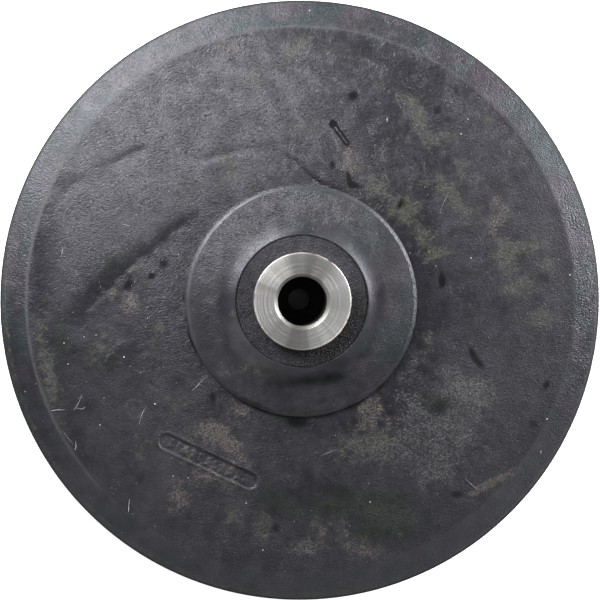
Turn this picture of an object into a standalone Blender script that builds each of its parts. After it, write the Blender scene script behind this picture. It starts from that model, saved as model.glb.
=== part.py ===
"""Flexible pump impeller: a moulded rubber disc with seven swept vanes on a turned steel hub.

Metres, +Z up. The origin is on the shaft axis, in the plane of the vanes' free edges, which the
impeller lies on. The drive side, with the boss and the mouth of the shaft bore, faces +Z.
"""

import math

import bmesh
import bpy

# Driving dimensions
DISC_RADIUS = 0.095
VANE_DEPTH = 0.020
DISC_THICKNESS = 0.008
BOSS_RADIUS = 0.0366
COLLAR_RADIUS = 0.0207
BUSH_RADIUS = 0.015
BORE_RADIUS = 0.00775
SCREW_HOLE_RADIUS = 0.0035
VANE_COUNT = 7
VANE_SLOPE = 0.6  # tangent of the angle between a vane and the circle it crosses
VANE_START_ANGLE = math.radians(84.1)  # of the first vane, where it crosses VANE_START_RADIUS
VANE_START_RADIUS = 0.0407

# Levels along the axis
DISC_FRONT = VANE_DEPTH
DISC_BACK = DISC_FRONT + DISC_THICKNESS
BUSH_FRONT = 0.006
BORE_BOTTOM = 0.012
BUSH_BACK = DISC_BACK + 0.0065

FIT_GAP = 0.0003  # between parts that are bonded or pressed together
EDGE_ROUNDING = 0.0008
CHAMFER = 0.0005

# The rim of the disc, trimmed to a bevel on the drive side
BEVEL_WIDTH = 0.0084
BEVEL_DROP = 0.002
BEVEL_TILT = math.degrees(math.atan2(BEVEL_DROP, BEVEL_WIDTH))

# The boss: a thin step, a shallow cone and a flare that curves up to a rounded lip at the collar
BOSS_STEP = 0.0012
BOSS_CONE_RISE = 0.0006
FLARE_FOOT = DISC_BACK + BOSS_STEP + BOSS_CONE_RISE
FLARE_RADIUS = 0.011
FLARE_TURN = 30  # degrees between the cone and the steepest part of the flare
LIP_ROUNDING = 0.0006
LIP_FLAT = 0.0002
LIP_TOP = FLARE_FOOT + (FLARE_RADIUS + LIP_ROUNDING) * (1 - math.cos(math.radians(FLARE_TURN)))
LIP_PROUD = 0.00025
COLLAR_BACK = LIP_TOP - LIP_PROUD

# The nose around the front end of the bush
NOSE_BASE_RADIUS = 0.0245
NOSE_TIP_RADIUS = 0.0185
NOSE_ROUNDING_SHARE = 0.6  # of the wall of rubber at the tip
NOSE_FAIRING_SHARE = 0.7  # of the nose's length

# The vanes, in plan
VANE_ROOT_INNER_RADIUS = 0.031
VANE_EDGE_INNER_RADIUS = 0.034
VANE_OUTER_RADIUS = 0.0935
VANE_ROOT_THICKNESS = 0.0078
VANE_EDGE_THICKNESS = 0.0058
VANE_TAIL_SHARE = 0.7  # thickness at the rim, as a share of the full thickness
VANE_NOSE_LENGTH = 0.005
VANE_NOSE_STEPS = 5
VANE_BODY_STEPS = 15
VANE_EDGE_ROUNDING = 0.0012
VANE_ROUNDING_STEPS = 2

# The mould's recessed plate, which is bare
PLATE_LENGTH = 0.0342
PLATE_WIDTH = 0.0052
PLATE_DEPTH = 0.0006
PLATE_CENTRE = (-0.0295, -0.0506)
PLATE_ANGLE = math.radians(-25.6)

DISC_STEPS = 96
HUB_STEPS = 64
MERGE = 0.00001

RUBBER = ("rubber", (0.075, 0.074, 0.080), 0.55, 0.0)
CORE = ("core", (0.045, 0.045, 0.049), 0.80, 0.2)
STEEL = ("steel", (0.72, 0.71, 0.69), 0.30, 1.0)


def clear_scene():
    for obj in list(bpy.data.objects):
        bpy.data.objects.remove(obj)


def new_collection(name):
    collection = bpy.data.collections.new(name)
    bpy.context.scene.collection.children.link(collection)
    return collection


def finish_material(finish):
    """The Principled material of one finish, made once."""
    name, colour, roughness, metallic = finish
    if name in bpy.data.materials:
        return bpy.data.materials[name]
    material = bpy.data.materials.new(name)
    material.use_nodes = True
    shader = material.node_tree.nodes["Principled BSDF"]
    shader.inputs["Base Color"].default_value = (*colour, 1.0)
    shader.inputs["Roughness"].default_value = roughness
    shader.inputs["Metallic"].default_value = metallic
    return material


def arc(centre, radii, start, end, steps):
    """Points of a quarter or part ellipse about centre, from start to end degrees, ends included."""
    angles = [math.radians(start + (end - start) * i / steps) for i in range(steps + 1)]
    return [(centre[0] + radii[0] * math.cos(a), centre[1] + radii[1] * math.sin(a)) for a in angles]


def turned(name, profile, steps, finish, collection):
    """A ring turned about the axis from a closed profile of (radius, height) points, outer side downwards."""
    mesh = bpy.data.meshes.new(name)
    points = [(radius, 0.0, height) for radius, height in profile]
    edges = [(i, (i + 1) % len(points)) for i in range(len(points))]
    mesh.from_pydata(points, edges, [])
    mesh.materials.append(finish_material(finish))
    obj = bpy.data.objects.new(name, mesh)
    collection.objects.link(obj)
    screw = obj.modifiers.new("turn", "SCREW")
    screw.axis = "Z"
    screw.steps = steps
    screw.render_steps = steps
    screw.use_merge_vertices = True
    screw.merge_threshold = MERGE
    return obj


def back_shroud(collection, cutters):
    """The moulded disc, with its bevelled rim and the recess that the mould's plate left."""
    rim_height = DISC_BACK - BEVEL_DROP - EDGE_ROUNDING
    profile = [(COLLAR_RADIUS + FIT_GAP, DISC_BACK), (DISC_RADIUS - BEVEL_WIDTH, DISC_BACK)]
    rounded = (EDGE_ROUNDING, EDGE_ROUNDING)
    profile += arc((DISC_RADIUS - EDGE_ROUNDING, rim_height), rounded, 90 - BEVEL_TILT, 0, 3)
    profile += arc((DISC_RADIUS - EDGE_ROUNDING, DISC_FRONT + EDGE_ROUNDING), rounded, 0, -90, 3)
    profile += [(COLLAR_RADIUS + FIT_GAP, DISC_FRONT)]
    disc = turned("back_shroud", profile, DISC_STEPS, RUBBER, collection)
    recess = disc.modifiers.new("plate_recess", "BOOLEAN")
    recess.operation = "DIFFERENCE"
    recess.object = plate_cutter(cutters)
    return disc


def plate_cutter(cutters):
    """A stadium-shaped block that sinks the recess into the back of the disc."""
    end_radius = PLATE_WIDTH / 2
    half_run = PLATE_LENGTH / 2 - end_radius
    outline = arc((half_run, 0), (end_radius, end_radius), -90, 90, 8)
    outline += arc((-half_run, 0), (end_radius, end_radius), 90, 270, 8)
    curve = bpy.data.curves.new("plate_cutter", "CURVE")
    curve.dimensions = "2D"
    curve.fill_mode = "BOTH"
    curve.extrude = PLATE_DEPTH
    spline = curve.splines.new("POLY")
    spline.points.add(len(outline) - 1)
    spline.use_cyclic_u = True
    for point, (x, y) in zip(spline.points, outline):
        point.co = (x, y, 0, 1)
    guide = bpy.data.objects.new("plate_outline", curve)
    cutters.objects.link(guide)
    bpy.context.view_layer.update()
    evaluated = guide.evaluated_get(bpy.context.evaluated_depsgraph_get())
    mesh = bpy.data.meshes.new_from_object(evaluated)
    bpy.data.objects.remove(guide)
    solid = bmesh.new()
    solid.from_mesh(mesh)
    bmesh.ops.remove_doubles(solid, verts=solid.verts, dist=MERGE)
    solid.to_mesh(mesh)
    solid.free()
    cutter = bpy.data.objects.new("plate_cutter", mesh)
    cutter.location = (*PLATE_CENTRE, DISC_BACK)
    cutter.rotation_euler.z = PLATE_ANGLE
    cutter.hide_render = True
    cutter.display_type = "WIRE"
    cutters.objects.link(cutter)
    return cutter


def boss(collection):
    """The raised boss bonded to the back of the disc, which flares up to a lip round the collar."""
    inner = COLLAR_RADIUS + FIT_GAP
    lip_centre = (inner + LIP_FLAT, LIP_TOP - LIP_ROUNDING)
    profile = [(inner, LIP_TOP)]
    profile += arc(lip_centre, (LIP_ROUNDING, LIP_ROUNDING), 90, 90 - FLARE_TURN, 2)
    foot_radius = lip_centre[0] + (LIP_ROUNDING + FLARE_RADIUS) * math.sin(math.radians(FLARE_TURN))
    flare_centre = (foot_radius, FLARE_FOOT + FLARE_RADIUS)
    profile += arc(flare_centre, (FLARE_RADIUS, FLARE_RADIUS), 270 - FLARE_TURN, 270, 6)[1:]
    cone_tilt = math.degrees(math.atan2(BOSS_CONE_RISE, BOSS_RADIUS - foot_radius))
    edge_centre = (BOSS_RADIUS - EDGE_ROUNDING, DISC_BACK + BOSS_STEP - EDGE_ROUNDING)
    profile += arc(edge_centre, (EDGE_ROUNDING, EDGE_ROUNDING), 90 - cone_tilt, 0, 3)
    profile += [(BOSS_RADIUS, DISC_BACK), (inner, DISC_BACK)]
    return turned("boss", profile, HUB_STEPS, RUBBER, collection)


def hub_collar(collection):
    """The rough core that carries the rubber; its end shows as a dark ring round the bush."""
    inner = BUSH_RADIUS + FIT_GAP
    profile = [
        (inner, COLLAR_BACK),
        (COLLAR_RADIUS, COLLAR_BACK),
        (COLLAR_RADIUS, DISC_FRONT),
        (inner, DISC_FRONT),
    ]
    return turned("hub_collar", profile, HUB_STEPS, CORE, collection)


def hub_bush(collection):
    """The turned bush: a shaft bore from the drive side and a screw hole through its front web."""
    profile = [
        (BORE_RADIUS + 2 * CHAMFER, BUSH_BACK),
        (BUSH_RADIUS - CHAMFER, BUSH_BACK),
        (BUSH_RADIUS, BUSH_BACK - CHAMFER),
        (BUSH_RADIUS, BUSH_FRONT + CHAMFER),
        (BUSH_RADIUS - CHAMFER, BUSH_FRONT),
        (SCREW_HOLE_RADIUS + CHAMFER, BUSH_FRONT),
        (SCREW_HOLE_RADIUS, BUSH_FRONT + CHAMFER),
        (SCREW_HOLE_RADIUS, BORE_BOTTOM),
        (BORE_RADIUS, BORE_BOTTOM),
        (BORE_RADIUS, BUSH_BACK - 2 * CHAMFER),
    ]
    return turned("hub_bush", profile, HUB_STEPS, STEEL, collection)


def eye_nose(collection):
    """The moulded nose in the eye of the impeller, round the front end of the bush."""
    inner = BUSH_RADIUS + FIT_GAP
    rounding = (NOSE_TIP_RADIUS - inner) * NOSE_ROUNDING_SHARE
    fairing = (NOSE_BASE_RADIUS - NOSE_TIP_RADIUS, (DISC_FRONT - BUSH_FRONT) * NOSE_FAIRING_SHARE)
    profile = [(inner, DISC_FRONT)]
    profile += arc((NOSE_BASE_RADIUS, DISC_FRONT - fairing[1]), fairing, 90, 180, 6)
    profile += arc((NOSE_TIP_RADIUS - rounding, BUSH_FRONT + rounding), (rounding, rounding), 0, -90, 4)
    profile += [(inner, BUSH_FRONT)]
    return turned("eye_nose", profile, HUB_STEPS, RUBBER, collection)


def vane_side(inner_radius, half_thickness, side):
    """One side of a vane in plan, from its nose to the rim; side is 1 outwards and -1 inwards."""
    slant = math.hypot(1, VANE_SLOPE)
    sine, cosine = VANE_SLOPE / slant, 1 / slant
    nose_end = inner_radius + VANE_NOSE_LENGTH * sine
    tail = half_thickness * VANE_TAIL_SHARE
    rim_end = math.sqrt(VANE_OUTER_RADIUS**2 - (tail * sine) ** 2) - side * tail * cosine
    stations = []
    for i in range(VANE_NOSE_STEPS):
        turn = math.pi / 2 * i / VANE_NOSE_STEPS
        radius = nose_end - VANE_NOSE_LENGTH * sine * math.cos(turn)
        stations.append((radius, math.sin(turn)))
    for i in range(VANE_BODY_STEPS + 1):
        along = i / VANE_BODY_STEPS
        radius = nose_end + (rim_end - nose_end) * along
        stations.append((radius, 1 - (1 - VANE_TAIL_SHARE) * along**2))
    points = []
    for radius, share in stations:
        angle = math.log(radius / VANE_START_RADIUS) / VANE_SLOPE
        out = radius + side * share * half_thickness * cosine
        around = -side * share * half_thickness * sine
        x = out * math.cos(angle) - around * math.sin(angle)
        y = out * math.sin(angle) + around * math.cos(angle)
        points.append((x, y))
    return points


def vane_section(inner_radius, thickness, height):
    """The outline of a vane at one height: a round nose at the eye, a tail flush with the rim."""
    outer = vane_side(inner_radius, thickness / 2, 1)
    inner = vane_side(inner_radius, thickness / 2, -1)
    return [(x, y, height) for x, y in outer + inner[:0:-1]]


def vane_mesh():
    """A vane lofted from its free edge to its thicker root, at an angle of zero."""
    solid = bmesh.new()
    loops = []
    for section in (
        vane_section(VANE_EDGE_INNER_RADIUS, VANE_EDGE_THICKNESS, 0),
        vane_section(VANE_ROOT_INNER_RADIUS, VANE_ROOT_THICKNESS, DISC_FRONT),
    ):
        ring = [solid.verts.new(co) for co in section]
        solid.faces.new(ring)
        loops.append(ring)
    free_edge, root = loops
    for i in range(len(root)):
        j = (i + 1) % len(root)
        solid.faces.new((free_edge[i], free_edge[j], root[j], root[i]))
    bmesh.ops.recalc_face_normals(solid, faces=solid.faces)
    edge_loop = set(free_edge)
    rounded = [edge for edge in solid.edges if set(edge.verts) <= edge_loop]
    bmesh.ops.bevel(
        solid, geom=rounded, offset=VANE_EDGE_ROUNDING, offset_type="OFFSET", segments=VANE_ROUNDING_STEPS,
        profile=0.5, affect="EDGES", clamp_overlap=True,
    )
    mesh = bpy.data.meshes.new("vane")
    solid.to_mesh(mesh)
    solid.free()
    mesh.materials.append(finish_material(RUBBER))
    return mesh


def vanes(collection):
    """Seven vanes on the front of the disc, swept away from the direction of rotation."""
    ring = bpy.data.objects.new("vane_ring", None)
    collection.objects.link(ring)
    ring.rotation_euler.z = VANE_START_ANGLE
    mesh = vane_mesh()
    for i in range(VANE_COUNT):
        vane = bpy.data.objects.new(f"vane_{i + 1}", mesh)
        vane.parent = ring
        vane.rotation_euler.z = 2 * math.pi * i / VANE_COUNT
        collection.objects.link(vane)


def shade(collection):
    """Smooth shading on the round faces, with the real edges kept sharp."""
    for obj in collection.objects:
        if obj.type == "MESH":
            obj.data.shade_smooth()
            obj.data.set_sharp_from_angle(angle=math.radians(35))


def main():
    clear_scene()
    impeller = new_collection("flexible_pump_impeller")
    cutters = new_collection("cutters")
    back_shroud(impeller, cutters)
    boss(impeller)
    hub_collar(impeller)
    hub_bush(impeller)
    eye_nose(impeller)
    vanes(impeller)
    shade(impeller)


main()
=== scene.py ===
"""The looks of a moulded rubber pump impeller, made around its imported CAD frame, in metres.

The camera looks down on the drive side, which shows the boss and the mouth of the shaft bore.
"""

import math
from types import SimpleNamespace

import bmesh
import bpy
import numpy as np
from mathutils import Matrix, Vector


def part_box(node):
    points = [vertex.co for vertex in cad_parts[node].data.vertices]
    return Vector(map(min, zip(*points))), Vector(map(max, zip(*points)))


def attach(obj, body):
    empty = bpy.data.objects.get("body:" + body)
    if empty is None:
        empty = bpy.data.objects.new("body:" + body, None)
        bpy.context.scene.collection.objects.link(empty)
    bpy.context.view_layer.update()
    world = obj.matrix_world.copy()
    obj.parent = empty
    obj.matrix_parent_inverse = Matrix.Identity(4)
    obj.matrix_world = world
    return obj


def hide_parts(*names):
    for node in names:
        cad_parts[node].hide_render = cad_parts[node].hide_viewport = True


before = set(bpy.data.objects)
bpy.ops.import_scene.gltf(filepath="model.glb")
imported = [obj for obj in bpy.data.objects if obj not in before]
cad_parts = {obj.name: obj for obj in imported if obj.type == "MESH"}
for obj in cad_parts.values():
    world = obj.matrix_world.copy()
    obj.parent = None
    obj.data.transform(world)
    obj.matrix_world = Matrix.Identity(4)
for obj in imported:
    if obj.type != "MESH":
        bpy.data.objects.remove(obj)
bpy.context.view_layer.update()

MM = 0.001

# Sizes that come from the frame
DISC_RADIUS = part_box("back_shroud")[1].x
DISC_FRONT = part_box("back_shroud")[0].z
DISC_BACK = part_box("back_shroud")[1].z
BOSS_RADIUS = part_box("boss")[1].x
LIP_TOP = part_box("boss")[1].z
COLLAR_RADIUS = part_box("hub_collar")[1].x
COLLAR_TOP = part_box("hub_collar")[1].z
BUSH_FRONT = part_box("hub_bush")[0].z
BUSH_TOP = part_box("hub_bush")[1].z
NOSE_BASE_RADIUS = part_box("eye_nose")[1].x
# The bush is drawn a little larger than its solid, as the photograph shows it
BUSH_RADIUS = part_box("hub_bush")[1].x + 0.35 * MM

# Sizes that repeat the CAD's
BEVEL_WIDTH = 8.4 * MM
BEVEL_DROP = 2.0 * MM
BEVEL_START = DISC_RADIUS - BEVEL_WIDTH
BOSS_STEP = 1.2 * MM
BOSS_CONE_RISE = 0.6 * MM
FLARE_RADIUS = 11 * MM
FLARE_TURN = 30
FIT_GAP = 0.3 * MM
BORE_RADIUS = 7.75 * MM
BORE_BOTTOM = 12 * MM
SCREW_HOLE_RADIUS = 3.5 * MM
NOSE_TIP_RADIUS = 18.5 * MM
NOSE_ROUNDING_SHARE = 0.6
NOSE_FAIRING_SHARE = 0.7
VANE_COUNT = 7
VANE_SLOPE = 0.6
VANE_START_ANGLE = math.radians(84.1)
VANE_START_RADIUS = 40.7 * MM
VANE_OUTER_RADIUS = 93.5 * MM
VANE_ROOT_INNER_RADIUS = 31 * MM
VANE_EDGE_INNER_RADIUS = 34 * MM
VANE_ROOT_THICKNESS = 7.8 * MM
VANE_EDGE_THICKNESS = 5.8 * MM
VANE_TAIL_SHARE = 0.7
VANE_NOSE_LENGTH = 5 * MM
VANE_EDGE_ROUNDING = 1.2 * MM
PLATE_LENGTH = 34.2 * MM
PLATE_WIDTH = 5.2 * MM
PLATE_CENTRE = (-29.5 * MM, -50.6 * MM)
PLATE_ANGLE = math.radians(-25.6)

# Sizes that differ from the CAD's or are in the scene alone
PLATE_DEPTH = 0.45 * MM
LIP_ROUNDING = 0.3 * MM
BOSS_EDGE_TILT = 28
RIM_BACK_ROUNDING = 0.3 * MM
RIM_FRONT_ROUNDING = 0.7 * MM
PARTING_LINE_HEIGHT = 0.1 * MM
HUB_GAP = 0.12 * MM
VANE_FILLET = 2.6 * MM

# The photograph's frame and the camera that gives it
PHOTO_HALF = 300.0
PIXELS_PER_MM = 3.14
CAMERA_PLACE = Vector((-0.043, 0.020, 0.900))
CAMERA_AIM = Vector((-0.00026, 0.00022, 0.0235))
FRAME_HALF_WIDTH = 0.0952
SENSOR = 36.0
HALF_TAN = FRAME_HALF_WIDTH / (CAMERA_AIM - CAMERA_PLACE).length


def turn_towards(place, aim):
    """The rotation of a camera or light at place that looks at aim, with +Y upwards in its picture."""
    ahead = (aim - place).normalized()
    right = ahead.cross(Vector((0, 1, 0))).normalized()
    return Matrix((right, right.cross(ahead), -ahead)).transposed().to_quaternion()


CAMERA_TURN = turn_towards(CAMERA_PLACE, CAMERA_AIM)


def at(px, py):
    """The point of the disc's back that pixel (px, py) of the photograph shows."""
    across = (px - PHOTO_HALF) / PHOTO_HALF * HALF_TAN
    up = (PHOTO_HALF - py) / PHOTO_HALF * HALF_TAN
    ray = CAMERA_TURN @ Vector((across, up, -1))
    return CAMERA_PLACE + ray * ((DISC_BACK - CAMERA_PLACE.z) / ray.z)


# Noise and distances, for points given as arrays

def value_noise(x, y, size, seed):
    """Smooth noise from -1 to 1 whose features are about one size across."""
    lattice = np.random.default_rng(seed).uniform(-1, 1, (256, 256))
    u, v = x / size + 128.37, y / size + 128.61
    i, j = np.floor(u).astype(int), np.floor(v).astype(int)
    s, t = u - i, v - j
    s, t = s * s * s * (s * (6 * s - 15) + 10), t * t * t * (t * (6 * t - 15) + 10)
    i, j, i1, j1 = i & 255, j & 255, (i + 1) & 255, (j + 1) & 255
    low = lattice[i, j] * (1 - s) + lattice[i1, j] * s
    high = lattice[i, j1] * (1 - s) + lattice[i1, j1] * s
    return low * (1 - t) + high * t


def fractal_noise(x, y, size, seed, octaves=4):
    """Layers of noise, each half the size and strength of the one before."""
    total = sum(value_noise(x, y, size / 2**k, seed + k) / 2**k for k in range(octaves))
    return total / (2 - 2 ** (1 - octaves))


def smoothstep(low, high, value):
    t = np.clip((value - low) / (high - low), 0, 1)
    return t * t * (3 - 2 * t)


def bell(offset, width):
    """1 where the offset is zero, falling off on both sides over about this width."""
    return np.exp(-((offset / width) ** 2))


def smooth_path(pixels, steps=8):
    """A Catmull-Rom curve through pixels of the photograph, as points on the disc's back."""
    points = np.array([at(px, py)[:2] for px, py in pixels])
    ends = np.vstack([2 * points[0] - points[1], points, 2 * points[-1] - points[-2]])
    curve = []
    for a, b, c, d in zip(ends, ends[1:], ends[2:], ends[3:]):
        for t in np.arange(steps) / steps:
            curve.append(0.5 * (2 * b + (c - a) * t + (2 * a - 5 * b + 4 * c - d) * t**2
                                + (3 * b - a - 3 * c + d) * t**3))
    return np.array(curve + [points[-1]])


def path_distance(path, x, y, reach):
    """The distance to a path, positive on its left, and the share of its length, where within reach."""
    side = np.full(x.shape, reach)
    share = np.zeros(x.shape)
    low, high = path.min(0) - reach, path.max(0) + reach
    near = (x > low[0]) & (x < high[0]) & (y > low[1]) & (y < high[1])
    px, py = x[near], y[near]
    best, best_share = np.full(px.shape, reach), np.zeros(px.shape)
    count = len(path) - 1
    for k, (a, b) in enumerate(zip(path, path[1:])):
        run = b - a
        t = np.clip(((px - a[0]) * run[0] + (py - a[1]) * run[1]) / (run @ run), 0, 1)
        dx, dy = px - a[0] - t * run[0], py - a[1] - t * run[1]
        distance = np.hypot(dx, dy) * np.where(run[0] * dy - run[1] * dx >= 0, 1, -1)
        closer = np.abs(distance) < np.abs(best)
        best = np.where(closer, distance, best)
        best_share = np.where(closer, (k + t) / count, best_share)
    side[near], share[near] = best, best_share
    return side, share


def plate_distance(x, y):
    """The distance outside the recessed plate's outline, and the place along and across the plate."""
    dx, dy = x - PLATE_CENTRE[0], y - PLATE_CENTRE[1]
    along = dx * math.cos(PLATE_ANGLE) + dy * math.sin(PLATE_ANGLE)
    across = dy * math.cos(PLATE_ANGLE) - dx * math.sin(PLATE_ANGLE)
    half_run = (PLATE_LENGTH - PLATE_WIDTH) / 2
    past = along - np.clip(along, -half_run, half_run)
    return np.hypot(past, across) - PLATE_WIDTH / 2, along, across


# Meshes

def finish_piece(obj, material, nodes=()):
    """Gives a piece its material and slot, seats it on the body and hides the nodes that it replaces."""
    obj.data.materials.clear()
    obj.data.materials.append(material)
    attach(obj, "root")
    if nodes:
        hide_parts(*nodes)
    return obj


def add_object(name, data):
    obj = bpy.data.objects.new(name, data)
    bpy.context.scene.collection.objects.link(obj)
    return obj


def add_mesh(name, vertices, faces, sharp_angle=40):
    mesh = bpy.data.meshes.new(name)
    mesh.from_pydata(vertices, [], faces)
    mesh.update()
    mesh.shade_smooth()
    mesh.set_sharp_from_angle(angle=math.radians(sharp_angle))
    return add_object(name, mesh)


def turned(name, profile, segments, relief=None, sharp_angle=40):
    """A closed ring swept from a closed profile of (radius, height) that runs down its outer side."""
    profile = np.array(profile)
    count = len(profile)
    angle = 2 * math.pi * np.arange(segments)[:, None] / segments
    radius, height = profile[:, 0][None, :], profile[:, 1][None, :]
    x, y = radius * np.cos(angle), radius * np.sin(angle)
    z = np.broadcast_to(height, x.shape).copy()
    if relief:
        x, y, z = relief(x, y, z)
    vertices = np.stack([x, y, z], -1).reshape(-1, 3)
    i, j = np.meshgrid(np.arange(segments), np.arange(count), indexing="ij")
    i1, j1 = (i + 1) % segments, (j + 1) % count
    faces = np.stack([i * count + j, i * count + j1, i1 * count + j1, i1 * count + j], -1).reshape(-1, 4)
    return add_mesh(name, vertices.tolist(), faces.tolist(), sharp_angle)


def tube_faces(rings, size, base=0):
    """The faces between rings of this many points each, counted on from base."""
    return [(base + k * size + i, base + k * size + (i + 1) % size, base + (k + 1) * size + (i + 1) % size,
             base + (k + 1) * size + i) for k in range(rings - 1) for i in range(size)]


def arc(centre, radii, start, end, steps):
    angles = np.radians(np.linspace(start, end, steps + 1))
    return [(centre[0] + radii[0] * math.cos(a), centre[1] + radii[1] * math.sin(a)) for a in angles]


def corner(centre, radius, start, end, steps):
    return arc(centre, (radius, radius), start, end, steps)


def line(start, end, steps):
    """Points from start towards end, without the end."""
    return [(start[0] + (end[0] - start[0]) * k / steps, start[1] + (end[1] - start[1]) * k / steps)
            for k in range(steps)]


def set_attribute(obj, name, values):
    attribute = obj.data.attributes.new(name, "FLOAT", "POINT")
    attribute.data.foreach_set("value", np.asarray(values, np.float32))


def vertex_array(obj):
    co = np.zeros(len(obj.data.vertices) * 3, np.float32)
    obj.data.vertices.foreach_get("co", co)
    return co.reshape(-1, 3).astype(float)


def store_vertices(obj, points):
    obj.data.vertices.foreach_set("co", points.astype(np.float32).ravel())
    obj.data.update()


# Materials

class Nodes:
    """Builds the nodes of one tree, in this kind of coordinates."""

    def __init__(self, tree, coordinates):
        self.tree = tree
        self.place = tree.nodes.new("ShaderNodeTexCoord").outputs[coordinates]

    def put(self, socket, value):
        if isinstance(value, bpy.types.NodeSocket):
            self.tree.links.new(value, socket)
        elif isinstance(value, tuple) and len(value) == 3 and socket.type == "RGBA":
            socket.default_value = (*value, 1.0)
        else:
            socket.default_value = value

    def node(self, kind, inputs, **settings):
        made = self.tree.nodes.new(kind)
        for key, value in settings.items():
            setattr(made, key, value)
        for key, value in inputs.items():
            self.put(made.inputs[key], value)
        return made

    def noise(self, size, detail=2.0, roughness=0.5, place=None):
        """Noise from 0 to 1 with features about one size across."""
        inputs = {"Vector": place or self.place, "Scale": 1 / size, "Detail": detail, "Roughness": roughness}
        return self.node("ShaderNodeTexNoise", inputs).outputs["Fac"]

    def cells(self, size):
        """The distance to the nearest of scattered points, which are about one size apart."""
        inputs = {"Vector": self.place, "Scale": 1 / size}
        return self.node("ShaderNodeTexVoronoi", inputs).outputs["Distance"]

    def remap(self, value, low, high, to_low=0.0, to_high=1.0, interpolation="SMOOTHSTEP"):
        inputs = {"Value": value, "From Min": low, "From Max": high, "To Min": to_low, "To Max": to_high}
        return self.node("ShaderNodeMapRange", inputs, interpolation_type=interpolation).outputs["Result"]

    def math(self, operation, first, second=0.0, third=0.0):
        made = self.tree.nodes.new("ShaderNodeMath")
        made.operation = operation
        for socket, value in zip(made.inputs, (first, second, third)):
            self.put(socket, value)
        return made.outputs[0]

    def plus(self, first, second):
        return self.math("ADD", first, second)

    def minus(self, first, second):
        return self.math("SUBTRACT", first, second)

    def times(self, first, second):
        return self.math("MULTIPLY", first, second)

    def times_plus(self, first, second, third):
        """The product of the first two, plus the third."""
        return self.math("MULTIPLY_ADD", first, second, third)

    def least(self, first, second):
        return self.math("MINIMUM", first, second)

    def most(self, first, second):
        return self.math("MAXIMUM", first, second)

    def vector(self, operation, inputs):
        made = self.node("ShaderNodeVectorMath", inputs, operation=operation)
        return made.outputs["Value" if operation == "LENGTH" else "Vector"]

    def parts(self, vector):
        """The X, Y and Z outputs of a vector."""
        return self.node("ShaderNodeSeparateXYZ", {"Vector": vector}).outputs

    def mix(self, factor, first, second, blend="MIX"):
        made = self.tree.nodes.new("ShaderNodeMix")
        made.data_type = "RGBA"
        made.blend_type = blend
        self.put(made.inputs["Factor"], factor)
        self.put(made.inputs[6], first)
        self.put(made.inputs[7], second)
        return made.outputs[2]

    def attribute(self, name):
        return self.node("ShaderNodeAttribute", {}, attribute_name=name).outputs["Fac"]

    def bump(self, height, strength, distance, normal=None):
        inputs = {"Height": height, "Strength": strength, "Distance": distance}
        if normal is not None:
            inputs["Normal"] = normal
        return self.node("ShaderNodeBump", inputs).outputs["Normal"]


class Shader(Nodes):
    """Builds one material's nodes around its Principled shader."""

    def __init__(self, name):
        self.material = bpy.data.materials.new(name)
        self.material.use_nodes = True
        super().__init__(self.material.node_tree, "Object")
        self.surface = self.tree.nodes["Principled BSDF"]

    def finish(self, **inputs):
        for key, value in inputs.items():
            self.put(self.surface.inputs[key.replace("_", " ")], value)
        return self.material


RUBBER_DARK = (0.0086, 0.0083, 0.0112)
RUBBER_LIGHT = (0.0136, 0.0131, 0.0170)
RUBBER_SHEEN = (0.915, 0.90, 1.0)
# A pale tint that paints light on the rubber, where the key light falls and on lit edges
PAINTED_LIGHT_TINT = (0.046, 0.0455, 0.050)
OLIVE = (0.047, 0.049, 0.034)
TAN = (0.072, 0.062, 0.052)
PALE = (0.068, 0.0665, 0.064)
MOSS = (0.0085, 0.0135, 0.0070)
# The dark of the soot spots, also used for painted shade
SOOT_AND_SHADE = (0.003, 0.004, 0.003)
COOL = (0.0150, 0.0285, 0.0270)
WARM = (0.046, 0.0320, 0.0400)
# Each kind of stain: its mask and colour, how ragged its edge is, and how much of it is fine dots
STAIN_KINDS = (("pale", PALE, 1.1, 0.9), ("olive", OLIVE, 2.0, 0.75), ("tan", TAN, 1.8, 0.85))

CORE_DARK = (0.0160, 0.0154, 0.0193)
CORE_LIGHT = (0.0300, 0.0286, 0.0350)
CORE_SHADE = (0.004, 0.004, 0.004)
CORE_SPARKLE = (0.085, 0.082, 0.092)

STEEL_DARK = (0.56, 0.545, 0.52)
STEEL_LIGHT = (1.0, 0.985, 0.955)
STEEL_WARM = (0.78, 0.66, 0.62)
STEEL_COOL = (0.66, 0.71, 0.67)
# A dull grey used for painted shade on the steel
STEEL_PAINTED_SHADE = (0.19, 0.185, 0.175)
RUST = (0.20, 0.09, 0.045)
BORE_SHADE = (0.003, 0.004, 0.002)

DUST_DARK = (0.45, 0.43, 0.40)
DUST_LIGHT = (0.85, 0.84, 0.80)
LINT_DARK = (0.16, 0.15, 0.14)
LINT_LIGHT = (0.42, 0.41, 0.40)


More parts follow.
